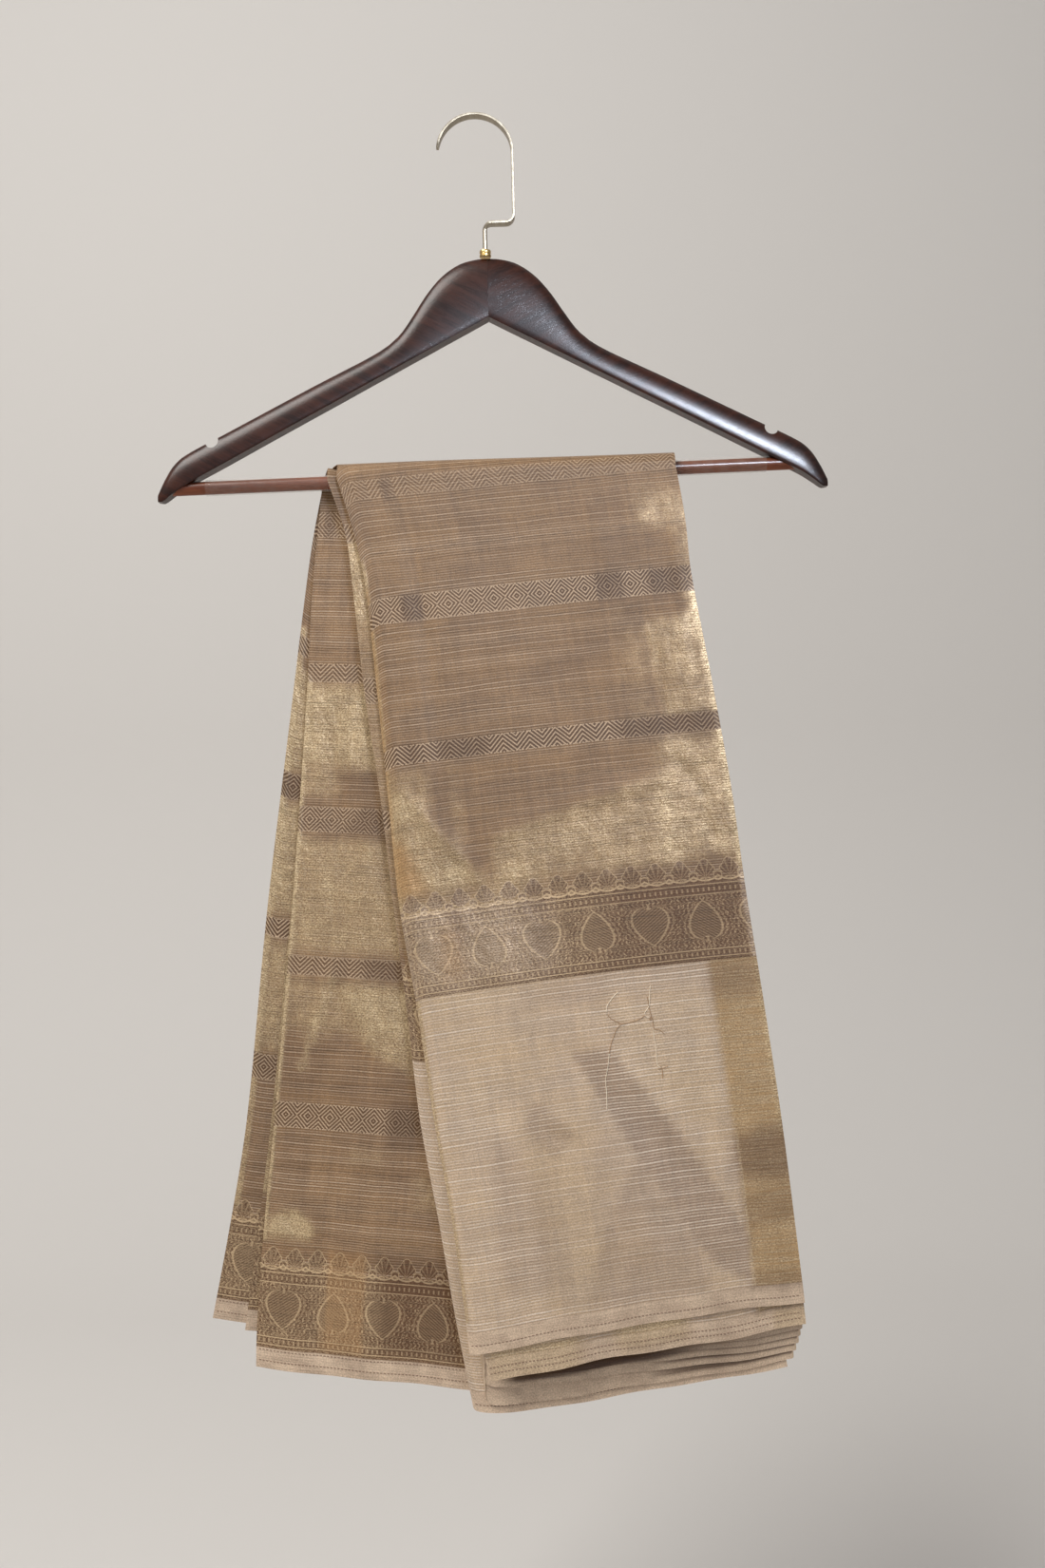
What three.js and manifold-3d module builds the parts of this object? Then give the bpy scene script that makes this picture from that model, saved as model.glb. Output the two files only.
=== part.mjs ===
// A folded organza saree over the bar of a wooden clothes hanger. Millimetres, +Z up, the front faces -Y.
// The origin is the inside of the hook's top, where the pin that carries the hanger touches it.
import * as THREE from 'three';
import { mergeVertices } from 'three/addons/utils/BufferGeometryUtils.js';
import Module from 'manifold-3d';

const wasm = await Module();
wasm.setup();

// ---- driving dimensions ----
const gap = 0.3; // air kept between pieces that touch on the real thing

// Hanger
const hangerMiddle = 0.8; // the glued joint stands a little to the right of the pin
const armThick = 12;
const armRoundDeep = 2;
const armRoundWide = 1.8;
const apexZ = -133.2; // where the two lower edges meet
const lowerEdgeEnd = { out: 209.5, z: -242.6 };
const notch = { out: 184.3, z: -209.7, radius: 4.6 };
const barHeight = -236.4; // the bar's axis under the origin
const barSlope = Math.tan(THREE.MathUtils.degToRad(1.08));
const barRadius = 4.3;
const barEnds = { left: -212, right: 208 };
const sleeveWall = 0.6;
const sleeveEnds = { left: -188, right: 181 };

// Hook, a flat metal strip bent on edge
const strip = { thick: 1.8, deep: 7 };
const hookBow = { x: -5.8, z: -23.2, radius: 24.7, tipAngle: 172 };
const hookDogleg = { z: -70.1, outerBend: 5.5, innerBend: 4.5 };
const stemX = -0.4;
const stemRadius = 1.5;
const stemEnd = -87.6;
const ferrule = { radius: 3.8, top: -87.9, foot: -92.3 };

// Cloth: walls from the sleeve outwards
const wall = 1;
const hemWall = 1.5;
const hemShare = 0.022; // the hem's height as a share of the hanging length
const hemStep = 0.004; // over this share the hem thins down to the wall
const hemTurn = 0.9;
const sleeveRadius = barRadius + gap + sleeveWall;
const innerRadius = sleeveRadius + gap;
const hiddenRadius = innerRadius + wall + gap;
const hiddenStack = { left: 2.5, right: 0.9, from: -60, to: 110 }; // folded layers, thinner to the right
const secondRadius = hiddenRadius + gap; // and the stack under it
const outerRadius = secondRadius + wall + gap;
const columns = 9;
const frontRows = 11;
const bendRows = 8;
const backRows = 10;

// Edges of each stretch: drop below the bar's axis, then the left and the right edge.
const outerFront = [
  { drop: 0, left: -100.5, right: 120.5 },
  { drop: 35, left: -90.4, right: 125.8 },
  { drop: 70, left: -83.6, right: 128.7 },
  { drop: 140, left: -77.5, right: 140.2 },
  { drop: 210, left: -71.8, right: 151 },
  { drop: 280, left: -66.2, right: 159.2 },
  { drop: 350, left: -55.8, right: 168.6 },
  { drop: 420, left: -46.8, right: 177.4 },
  { drop: 490, left: -36, right: 184.6 },
  { drop: 570, left: -26.8, right: 192 },
  { drop: 600, left: -23.5, right: 194 },
];
const outerBack = [
  { drop: 0, left: -113, right: 108 },
  { drop: 35, left: -120.6, right: 101 },
  { drop: 70, left: -126.5, right: 94.5 },
  { drop: 140, left: -137, right: 83 },
  { drop: 280, left: -157.5, right: 61 },
  { drop: 420, left: -174.8, right: 41 },
  { drop: 490, left: -187.8, right: 28 },
  { drop: 600, left: -211.5, right: 6 },
];
const secondBack = [
  { drop: 0, left: -101, right: 111 },
  { drop: 70, left: -113, right: 99 },
  { drop: 140, left: -122, right: 90 },
  { drop: 280, left: -141, right: 72 },
  { drop: 420, left: -158, right: 55 },
  { drop: 610, left: -187, right: 27 },
];
const innerFront = [
  { drop: 0, left: -107, right: 104 },
  { drop: 35, left: -96.4, right: 107 },
  { drop: 70, left: -92.6, right: 110 },
  { drop: 140, left: -86.4, right: 119.5 },
  { drop: 210, left: -77.6, right: 128.5 },
  { drop: 280, left: -70.9, right: 136.5 },
  { drop: 350, left: -63.6, right: 144 },
  { drop: 420, left: -57, right: 153.5 },
  { drop: 490, left: -45.9, right: 163.5 },
  { drop: 550, left: -37, right: 172.5 },
  { drop: 611, left: -26.4, right: 183 },
];
const innerBack = [
  { drop: 0, left: -112.5, right: 99 },
  { drop: 70, left: -121, right: 91 },
  { drop: 140, left: -126.5, right: 85.5 },
  { drop: 280, left: -139.7, right: 70 },
  { drop: 420, left: -155, right: 55 },
  { drop: 490, left: -163.5, right: 46.5 },
  { drop: 560, left: -170.2, right: 42 },
  { drop: 620, left: -172, right: 38 },
];

// How far the layers stand apart below the bar, at the left, the middle and the right of the cloth.
const frontSpread = [
  { drop: 0, left: 0, middle: 0, right: 0 },
  { drop: 70, left: 1.4, middle: 1.2, right: 1 },
  { drop: 140, left: 2.6, middle: 2.3, right: 1.8 },
  { drop: 280, left: 5.2, middle: 5, right: 3.4 },
  { drop: 420, left: 9, middle: 8.8, right: 5.3 },
  { drop: 500, left: 11.6, middle: 11.5, right: 6.4 },
  { drop: 620, left: 15.4, middle: 15, right: 8.1 },
];
const backSpread = [
  { drop: 0, left: 0, middle: 0, right: 0 },
  { drop: 140, left: 2, middle: 1.8, right: 1.8 },
  { drop: 280, left: 3.2, middle: 3, right: 3.2 },
  { drop: 420, left: 4.6, middle: 4.4, right: 4.8 },
  { drop: 620, left: 6.6, middle: 6.4, right: 7 },
];
const wave = { share: 0.12, across: 7, downLength: 90 };
const curl = { width: 9, depth: 3, from: 30, full: 160 }; // the outer stretch's left edge rolls back

// Leaves of the hidden layers that show as hems: place in the stack, share of the spread, inset and length.
const frontLeaves = [
  { place: 0.87, share: 0.56, leftIn: 9, rightIn: 4, left: 582, right: 567 },
  { place: 0.65, share: 0.42, leftIn: 8, rightIn: 5.5, left: 585, right: 572 },
  { place: 0.41, share: 0.28, leftIn: 7, rightIn: 8, left: 589, right: 577 },
  { place: 0.19, share: 0.14, leftIn: 6, rightIn: 10.5, left: 604, right: 582 },
];
const backLeaves = [
  { place: 0.8, share: 0.77, leftIn: 6, rightIn: 6, left: 566, right: 598 },
  { place: 0.5, share: 0.65, leftIn: 5, rightIn: 7.5, left: 572, right: 603 },
  { place: 0.2, share: 0.53, leftIn: 4, rightIn: 9, left: 578, right: 609 },
];
const leafRoot = 0.76; // share of the length at which the leaves part
const hiddenEnd = 0.8;
const foldEdge = [
  { through: 0.1, out: 1.2 },
  { through: 0.3, out: -0.8 },
  { through: 0.5, out: 1.6 },
  { through: 0.7, out: -0.8 },
  { through: 0.9, out: 1.2 },
];

// ---- helpers ----
const barZ = (x) => barHeight + barSlope * x;
const mix = THREE.MathUtils.lerp;
const smooth = THREE.MathUtils.smoothstep;
const stackAt = (x) => {
  const across = smooth(x, hiddenStack.from, hiddenStack.to);
  return mix(hiddenStack.left, hiddenStack.right, across);
};

// A smooth curve through one column of a table.
function read(table, column, at) {
  const last = table.length - 2;
  const found = table.findIndex((row) => row.drop > at);
  const i = found < 0 ? last : Math.max(0, found - 1);
  const row = (n) => table[Math.min(table.length - 1, Math.max(0, n))];
  const slope = (n) => {
    const run = row(n + 1).drop - row(n - 1).drop;
    return (row(n + 1)[column] - row(n - 1)[column]) / run;
  };
  const span = row(i + 1).drop - row(i).drop;
  const t = (at - row(i).drop) / span;
  const start = row(i)[column] * (2 * t ** 3 - 3 * t ** 2 + 1);
  const end = row(i + 1)[column] * (3 * t ** 2 - 2 * t ** 3);
  const lean = span * (slope(i) * (t ** 3 - 2 * t ** 2 + t) + slope(i + 1) * (t ** 3 - t ** 2));
  return start + end + lean;
}

function toSolid(geometry) {
  const bare = geometry.clone();
  bare.deleteAttribute('normal');
  bare.deleteAttribute('uv');
  const merged = mergeVertices(bare, 1e-4);
  const mesh = new wasm.Mesh({
    numProp: 3,
    vertProperties: new Float32Array(merged.attributes.position.array),
    triVerts: new Uint32Array(merged.index.array),
  });
  return new wasm.Manifold(mesh);
}

function toGeometry(solid) {
  const mesh = solid.getMesh();
  const geometry = new THREE.BufferGeometry();
  geometry.setAttribute('position', new THREE.BufferAttribute(mesh.vertProperties, 3));
  geometry.setIndex(new THREE.BufferAttribute(mesh.triVerts, 1));
  return geometry;
}

// A closed body through section loops of equal length, with a flat end on the first and the last.
function loft(loops) {
  const count = loops[0].length;
  const index = [];
  for (let row = 0; row < loops.length - 1; row++) {
    for (let j = 0; j < count; j++) {
      const a = row * count + j;
      const b = row * count + ((j + 1) % count);
      index.push(a, b, b + count, a, b + count, a + count);
    }
  }
  const cap = (row, turn) => {
    const flat = loops[row].map((p) => new THREE.Vector2(p.x, p.y));
    const wanted = turn * Math.sign(THREE.ShapeUtils.area(flat));
    for (const [a, b, c] of THREE.ShapeUtils.triangulateShape(flat, [])) {
      const area = THREE.ShapeUtils.area([flat[a], flat[b], flat[c]]);
      const ends = Math.sign(area) === wanted ? [a, b, c] : [a, c, b];
      index.push(...ends.map((n) => n + row * count));
    }
  };
  cap(0, -1);
  cap(loops.length - 1, 1);
  const geometry = new THREE.BufferGeometry();
  const places = loops.flat().flatMap((p) => [p.x, p.y, p.z]);
  geometry.setAttribute('position', new THREE.Float32BufferAttribute(places, 3));
  geometry.setIndex(index);
  return facingOut(geometry);
}

function facingOut(geometry) {
  const index = geometry.index.array;
  const place = geometry.attributes.position;
  const corner = (n) => new THREE.Vector3().fromBufferAttribute(place, index[n]);
  let volume = 0;
  for (let n = 0; n < index.length; n += 3) {
    volume += corner(n).dot(corner(n + 1).cross(corner(n + 2)));
  }
  if (volume < 0) {
    for (let n = 0; n < index.length; n += 3) {
      [index[n], index[n + 1]] = [index[n + 1], index[n]];
    }
  }
  return geometry;
}

// ---- cloth ----
// path: -1 to 0 up the front, 0 to 1 over the bar, 1 to 2 down the back. u: 0 left, 1 right.
function spreadAt(side, drop, x) {
  const front = side === 'front';
  const edges = front ? outerFront : outerBack;
  const table = front ? frontSpread : backSpread;
  const left = read(edges, 'left', drop);
  const right = read(edges, 'right', drop);
  const w = THREE.MathUtils.clamp((x - left) / (right - left), 0, 1);
  const atLeft = read(table, 'left', drop) * (1 - w) * (1 - 2 * w);
  const atMiddle = read(table, 'middle', drop) * 4 * w * (1 - w);
  const atRight = read(table, 'right', drop) * w * (2 * w - 1);
  const ripple = 1 + wave.share * Math.sin(wave.across * w + drop / wave.downLength);
  return Math.max(0, atLeft + atMiddle + atRight) * ripple;
}

function edgeX(half, drop, u) {
  const left = read(half.edges, 'left', drop) + (half.leftIn ?? 0);
  const right = read(half.edges, 'right', drop) - (half.rightIn ?? 0);
  return mix(left, right, u);
}

// Length from the bar to the hem, with the hem bowed down by sag, most where u to the power sagTo is a half.
function hangLength(half, u) {
  const bowed = u ** (half.sagTo ?? 1);
  return mix(half.leftLength, half.rightLength, u) + (half.sag ?? 0) * 4 * bowed * (1 - bowed);
}

// The point of a stretch's outer (face 1) or inner (face -1) side.
function clothPoint(stretch, path, u, face) {
  const side = face > 0 ? stretch.outside : stretch.inside;
  if (path > 0 && path < 1) {
    const angle = Math.PI * (0.5 - path);
    const over = smooth(path, 0.35, 1);
    const x = mix(edgeX(stretch.front, 0, u), edgeX(stretch.back, 0, u), over);
    const radius = side.radius + side.over * stackAt(x);
    return new THREE.Vector3(x, -radius * Math.sin(angle), barZ(x) + radius * Math.cos(angle));
  }
  const name = path <= 0 ? 'front' : 'back';
  const half = stretch[name];
  const share = path <= 0 ? -path : path - 1;
  const drop = share * hangLength(half, u);
  const x = edgeX(half, drop, u);
  let depth = side.radius + side.over * stackAt(x) + side.share * spreadAt(name, drop, x);
  if (stretch.curled && name === 'front') {
    const inFrom = Math.max(0, 1 - (x - edgeX(half, drop, 0)) / curl.width);
    const amount = curl.depth * smooth(drop, curl.from, curl.full);
    const steep = (2 * amount * inFrom) / curl.width;
    depth -= amount * inFrom ** 2;
    depth += face * (wall / 2) * (Math.hypot(1, steep) - 1);
  }
  if (stretch.hemmed && share > 1 - hemShare) {
    depth += (face * (hemWall - wall)) / 2;
  }
  return new THREE.Vector3(x, path <= 0 ? -depth : depth, barZ(x) - drop);
}

function clothSection(stretch, path) {
  const outer = [];
  const inner = [];
  for (const u of stretch.across) {
    outer.push(clothPoint(stretch, path, u, 1));
    inner.push(clothPoint(stretch, path, u, -1));
  }
  const rim = (outside, inside, direction) => (stretch.rim ?? []).map((step) => {
    const point = outside.clone().lerp(inside, step.through);
    point.x += direction * step.out;
    return point;
  });
  const last = outer.length - 1;
  const rightRim = rim(outer[last], inner[last], 1);
  const leftRim = rim(outer[0], inner[0], -1).reverse();
  return [...outer, ...rightRim, ...inner.reverse(), ...leftRim];
}

const evenly = (from, to, steps) => {
  return Array.from({ length: steps + 1 }, (_, n) => from + ((to - from) * n) / steps);
};
const plainAcross = evenly(0, 1, columns);
const curledAcross = [0, 0.014, 0.028, 0.042, ...evenly(0.12, 1, columns - 1)];

function thinStretch(radius, over, share, front, back, extra = {}) {
  return {
    outside: { radius: radius + wall, over, share },
    inside: { radius, over, share },
    front,
    back,
    across: plainAcross,
    ...extra,
  };
}

function hemmedPaths() {
  const hemStart = hemShare + hemStep;
  return [
    -1,
    -1 + hemShare * hemTurn,
    ...evenly(-1 + hemStart, 0, frontRows),
    ...evenly(0, 1, bendRows).slice(1, -1),
    ...evenly(1, 2 - hemStart, backRows),
    2 - hemShare * hemTurn,
    2,
  ];
}

function stretchBody(stretch) {
  return loft(hemmedPaths().map((path) => clothSection(stretch, path)));
}

const outerStretch = thinStretch(
  outerRadius,
  1,
  1,
  { edges: outerFront, leftLength: 568.5, rightLength: 547.5, sag: -3.8, sagTo: 1.2 },
  { edges: outerBack, leftLength: 553.5, rightLength: 594 },
  { across: curledAcross, curled: true, hemmed: true },
);
const secondStretch = thinStretch(
  secondRadius,
  1,
  0.93,
  { edges: outerFront, leftIn: 9.5, rightIn: 0.6, leftLength: 585, rightLength: 561.5 },
  { edges: secondBack, leftLength: 561, rightLength: 599 },
  { hemmed: true },
);
const innerStretch = thinStretch(
  innerRadius,
  0,
  0.05,
  { edges: innerFront, leftLength: 610.5, rightLength: 592, sag: 5.6, sagTo: 0.45 },
  { edges: innerBack, leftLength: 584, rightLength: 616 },
  { hemmed: true },
);

// On the back the inner stretch stands off with the rest, so its share of the spread is larger there.
const innerBackShare = 0.4;
const hiddenShares = { frontIn: 0.09, frontOut: 0.62, backIn: 0.46, backOut: 0.85 };

function hiddenBody() {
  const common = { edges: outerFront, leftIn: 6, rightIn: 3, sag: 4, sagTo: 0.55 };
  const frontHalf = { ...common, leftLength: 598, rightLength: 575 };
  const backHalf = { edges: innerBack, leftIn: 3, rightIn: 5, leftLength: 572, rightLength: 603 };
  const stretch = {
    outside: { radius: hiddenRadius, over: 1, share: hiddenShares.frontOut },
    inside: { radius: hiddenRadius, over: 0, share: hiddenShares.frontIn },
    front: frontHalf,
    back: backHalf,
    across: plainAcross,
    rim: foldEdge,
  };
  const behind = {
    ...stretch,
    outside: { radius: hiddenRadius, over: 1, share: hiddenShares.backOut },
    inside: { radius: hiddenRadius, over: 0, share: hiddenShares.backIn },
  };
  const paths = [
    ...evenly(-hiddenEnd, 0, frontRows - 3),
    ...evenly(0, 1, bendRows).slice(1, -1),
    ...evenly(1, 1 + hiddenEnd, backRows - 2),
  ];
  const loops = paths.map((path) => clothSection(path > 1 ? behind : stretch, path));
  let solid = toSolid(loft(loops));
  for (const leaf of frontLeaves) {
    solid = solid.add(toSolid(leafBody(leaf, frontHalf, 'front')));
  }
  for (const leaf of backLeaves) {
    solid = solid.add(toSolid(leafBody(leaf, backHalf, 'back')));
  }
  return toGeometry(solid);
}

function leafBody(leaf, half, name) {
  const own = { ...half, leftLength: leaf.left, rightLength: leaf.right };
  own.leftIn = leaf.leftIn;
  own.rightIn = leaf.rightIn;
  const stretch = thinStretch(hiddenRadius - wall / 2, leaf.place, leaf.share, own, own);
  const share = evenly(1, leafRoot, 4);
  const paths = name === 'front' ? share.map((s) => -s) : share.map((s) => 1 + s);
  return loft(paths.map((path) => clothSection(stretch, path)));
}

function innerBody() {
  const behind = {
    ...innerStretch,
    outside: { radius: innerRadius + wall, over: 0, share: innerBackShare },
    inside: { radius: innerRadius, over: 0, share: innerBackShare },
  };
  const loops = hemmedPaths().map((path) => {
    return clothSection(path > 1 ? behind : innerStretch, path);
  });
  return loft(loops);
}

// ---- hanger ----
// Half of the hanger's outline above its lower edge, from the tip up to the crown.
const tipCurve = [[214, -247.8], [219, -249.4], [221, -245.8], [217, -236.6], [211, -225.6], [203, -218.2]];
const shoulderCurve = [[144.2, -188.3], [115, -173.6], [96.5, -164.6], [79, -156], [67, -148.9], [58.1, -140.8]];
const crownCurve = [[49.9, -129.3], [41, -116], [31.1, -104.6], [19.3, -96.4], [8, -93.2], [0, -92.7]];

function hangerOutline() {
  const shape = new THREE.Shape();
  const points = (list) => list.map(([x, z]) => new THREE.Vector2(x, z));
  shape.moveTo(0, apexZ);
  shape.lineTo(lowerEdgeEnd.out, lowerEdgeEnd.z);
  shape.splineThru(points(tipCurve));
  shape.lineTo(...shoulderCurve[0]);
  shape.splineThru(points([...shoulderCurve.slice(1), ...crownCurve]));
  const half = shape.getPoints(2);
  const mirrored = half.slice(1, -1).reverse().map((p) => new THREE.Vector2(-p.x, p.y));
  return new THREE.Shape([...half, ...mirrored]);
}

function standing(geometry) {
  return geometry.rotateX(Math.PI / 2);
}

function hangerSolid() {
  const geometry = new THREE.ExtrudeGeometry(hangerOutline(), {
    depth: armThick - 2 * armRoundDeep,
    bevelThickness: armRoundDeep,
    bevelSize: armRoundWide,
    bevelOffset: -armRoundWide,
    bevelSegments: 2,
  });
  geometry.translate(0, 0, -(armThick - 2 * armRoundDeep) / 2);
  standing(geometry);
  geometry.translate(hangerMiddle, 0, 0);
  let solid = toSolid(geometry);
  for (const side of [-1, 1]) {
    const cutter = new THREE.CylinderGeometry(notch.radius, notch.radius, armThick * 2, 20);
    cutter.translate(hangerMiddle + side * notch.out, 0, notch.z);
    solid = solid.subtract(toSolid(cutter));
  }
  return solid.subtract(toSolid(barRod(barRadius + gap, barEnds.left - gap, barEnds.right + gap)));
}

function barRod(radius, left, right) {
  const rod = new THREE.CylinderGeometry(radius, radius, right - left, 24);
  rod.rotateZ(-Math.PI / 2);
  rod.rotateY(-Math.atan(barSlope));
  rod.translate((left + right) / 2, 0, barZ((left + right) / 2));
  return rod;
}

function armBody(hanger, side) {
  const wide = 300;
  const half = new THREE.BoxGeometry(wide, armThick * 2, wide);
  const start = hangerMiddle + (side * gap) / 2;
  half.translate(start + (side * wide) / 2, 0, apexZ - 40);
  return toGeometry(hanger.intersect(toSolid(half)));
}

function sleeveBody() {
  const tube = toSolid(barRod(sleeveRadius, sleeveEnds.left, sleeveEnds.right));
  const hollow = toSolid(barRod(barRadius + gap, sleeveEnds.left - 5, sleeveEnds.right + 5));
  return toGeometry(tube.subtract(hollow));
}

function hookBody() {
  const path = new THREE.Path();
  const { outerBend, innerBend, z } = hookDogleg;
  const straightX = hookBow.x + hookBow.radius;
  const tip = THREE.MathUtils.degToRad(hookBow.tipAngle);
  path.absarc(hookBow.x, hookBow.z, hookBow.radius, tip, 0, true);
  path.lineTo(straightX, z + outerBend);
  path.absarc(straightX - outerBend, z + outerBend, outerBend, 0, -Math.PI / 2, true);
  path.lineTo(stemX + innerBend, z);
  path.absarc(stemX + innerBend, z - innerBend, innerBend, Math.PI / 2, Math.PI, false);
  path.lineTo(stemX, stemEnd);
  const middle = path.getPoints(12).filter((p, n, all) => n === 0 || p.distanceTo(all[n - 1]) > 1e-3);
  const beside = (distance) => middle.map((p, n) => {
    const before = middle[Math.max(0, n - 1)];
    const after = middle[Math.min(middle.length - 1, n + 1)];
    const along = after.clone().sub(before).normalize();
    return new THREE.Vector2(p.x - along.y * distance, p.y + along.x * distance);
  });
  const outline = [...beside(strip.thick / 2), ...beside(-strip.thick / 2).reverse()];
  const geometry = new THREE.ExtrudeGeometry(new THREE.Shape(outline), {
    depth: strip.deep,
    bevelEnabled: false,
  });
  geometry.translate(0, 0, -strip.deep / 2);
  const stemTop = z - innerBend;
  const stem = new THREE.CylinderGeometry(stemRadius, stemRadius, stemTop - stemEnd, 16);
  standing(stem).translate(stemX, 0, (stemTop + stemEnd) / 2);
  return toGeometry(toSolid(standing(geometry)).add(toSolid(stem)));
}

function ferruleBody() {
  const { radius, top, foot } = ferrule;
  const height = top - foot;
  const profile = [
    [0, foot],
    [radius, foot],
    [radius, foot + height * 0.35],
    [radius * 0.9, foot + height * 0.45],
    [radius * 0.9, foot + height * 0.6],
    [radius, foot + height * 0.7],
    [radius * 0.92, top],
    [0, top],
  ];
  const geometry = new THREE.LatheGeometry(profile.map(([r, z]) => new THREE.Vector2(r, z)), 24);
  standing(geometry);
  return geometry.translate(stemX, 0, 0);
}

// ---- the object ----
const finish = {
  metal: { color: 0xd8cbb0, roughness: 0.32, metalness: 0.9 },
  brass: { color: 0xa98d54, roughness: 0.38, metalness: 0.9 },
  wood: { color: 0x3a211b, roughness: 0.35, metalness: 0 },
  bareWood: { color: 0x7a4a2c, roughness: 0.55, metalness: 0 },
  sleeve: { color: 0xcfc8c0, roughness: 0.25, metalness: 0 },
  tissue: { color: 0xa98f70, roughness: 0.5, metalness: 0.25 },
  hiddenTissue: { color: 0xb5a288, roughness: 0.6, metalness: 0.15 },
};

const group = new THREE.Group();
function add(name, geometry, look) {
  const mesh = new THREE.Mesh(geometry, new THREE.MeshStandardMaterial(look));
  mesh.name = name;
  group.add(mesh);
}

const hanger = hangerSolid();
add('hook', hookBody(), finish.metal);
add('ferrule', ferruleBody(), finish.brass);
add('arm_left', armBody(hanger, -1), finish.wood);
add('arm_right', armBody(hanger, 1), finish.wood);
add('bar', barRod(barRadius, barEnds.left, barEnds.right), finish.bareWood);
add('bar_sleeve', sleeveBody(), finish.sleeve);
add('stretch_inner', innerBody(), finish.tissue);
add('stretch_hidden', hiddenBody(), finish.hiddenTissue);
add('stretch_second', stretchBody(secondStretch), finish.tissue);
add('stretch_outer', stretchBody(outerStretch), finish.tissue);

export default group;
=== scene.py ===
import math
import bpy
import bmesh
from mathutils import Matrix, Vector, noise


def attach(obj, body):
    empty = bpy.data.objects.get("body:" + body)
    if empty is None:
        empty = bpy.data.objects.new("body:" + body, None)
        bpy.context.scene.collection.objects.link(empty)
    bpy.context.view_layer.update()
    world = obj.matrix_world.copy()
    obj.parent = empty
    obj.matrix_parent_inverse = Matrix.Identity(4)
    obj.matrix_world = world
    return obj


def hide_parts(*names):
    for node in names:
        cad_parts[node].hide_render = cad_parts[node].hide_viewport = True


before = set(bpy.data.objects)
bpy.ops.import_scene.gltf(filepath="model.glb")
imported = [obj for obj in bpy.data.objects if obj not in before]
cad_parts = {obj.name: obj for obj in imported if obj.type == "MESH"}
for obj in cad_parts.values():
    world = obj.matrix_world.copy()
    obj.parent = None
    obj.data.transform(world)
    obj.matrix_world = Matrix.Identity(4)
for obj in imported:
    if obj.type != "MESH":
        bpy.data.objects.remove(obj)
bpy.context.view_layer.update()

mm = 0.001  # sizes below are in millimetres, and every mesh is made in metres
sc = bpy.context.scene
sc.view_settings.view_transform = "Standard"
print("frame loaded")


def mix(a, b, t):
    return a + (b - a) * t


def smooth(value, low, high):
    t = min(1, max(0, (value - low) / (high - low)))
    return t * t * (3 - 2 * t)


def evenly(start, end, steps):
    return [mix(start, end, n / steps) for n in range(steps + 1)]


def read(table, column, at):
    # a smooth curve through one column of a table whose first column is the place
    last = len(table) - 1
    i = max(0, min(last - 1, sum(row[0] <= at for row in table) - 1))

    def slope(n):
        before, after = table[max(0, n - 1)], table[min(last, n + 1)]
        return (after[column] - before[column]) / (after[0] - before[0])

    span = table[i + 1][0] - table[i][0]
    t = (at - table[i][0]) / span
    value = table[i][column] * (2 * t ** 3 - 3 * t ** 2 + 1)
    value += table[i + 1][column] * (3 * t ** 2 - 2 * t ** 3)
    return value + span * (slope(i) * (t ** 3 - 2 * t ** 2 + t) + slope(i + 1) * (t ** 3 - t ** 2))


def paint(red, green, blue):
    # a colour mixed on a 0 to 255 scale, as the linear one that a shader takes
    def linear(level):
        level /= 255
        return level / 12.92 if level <= 0.04045 else ((level + 0.055) / 1.055) ** 2.4

    return (linear(red), linear(green), linear(blue), 1)


# camera, light and floor, in metres
view = {"place": (0.0156, -0.880, -0.440), "roll": 1.4, "lens": 30.63}
studio = {
    "floor": -1.22, "wallAt": 2.0, "sweep": 0.9, "halfWidth": 3.2, "front": -2.4, "top": 2.2,
    "paper": paint(215, 212, 209), "air": paint(228, 226, 225), "airStrength": 0.42,
}
lamps = [
    # name, place, aimed at, width, height, watts, colour; the gloss lamp lights highlights alone
    ("keyLamp", (-1.6, -1.5, 2.0), (0.0, 0.0, -0.45), 1.8, 1.4, 112, (1.0, 0.975, 0.93)),
    ("glossLamp", (0.56, -1.75, 0.34), (0.13, 0.0, -0.2), 0.42, 0.22, 68, (0.78, 0.86, 1.0)),
    ("wallLamp", (0.0, 0.25, 1.9), (0.0, 1.9, -0.2), 2.4, 0.8, 3.5, (1.0, 0.99, 0.98)),
]


def makeCamera():
    camera = bpy.data.objects.new("camera", bpy.data.cameras.new("camera"))
    camera.location = view["place"]
    camera.rotation_euler = (math.radians(90), math.radians(view["roll"]), 0)
    camera.data.lens = view["lens"]
    camera.data.sensor_width = 36
    camera.data.clip_start = 0.01
    sc.collection.objects.link(camera)
    sc.camera = camera


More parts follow.
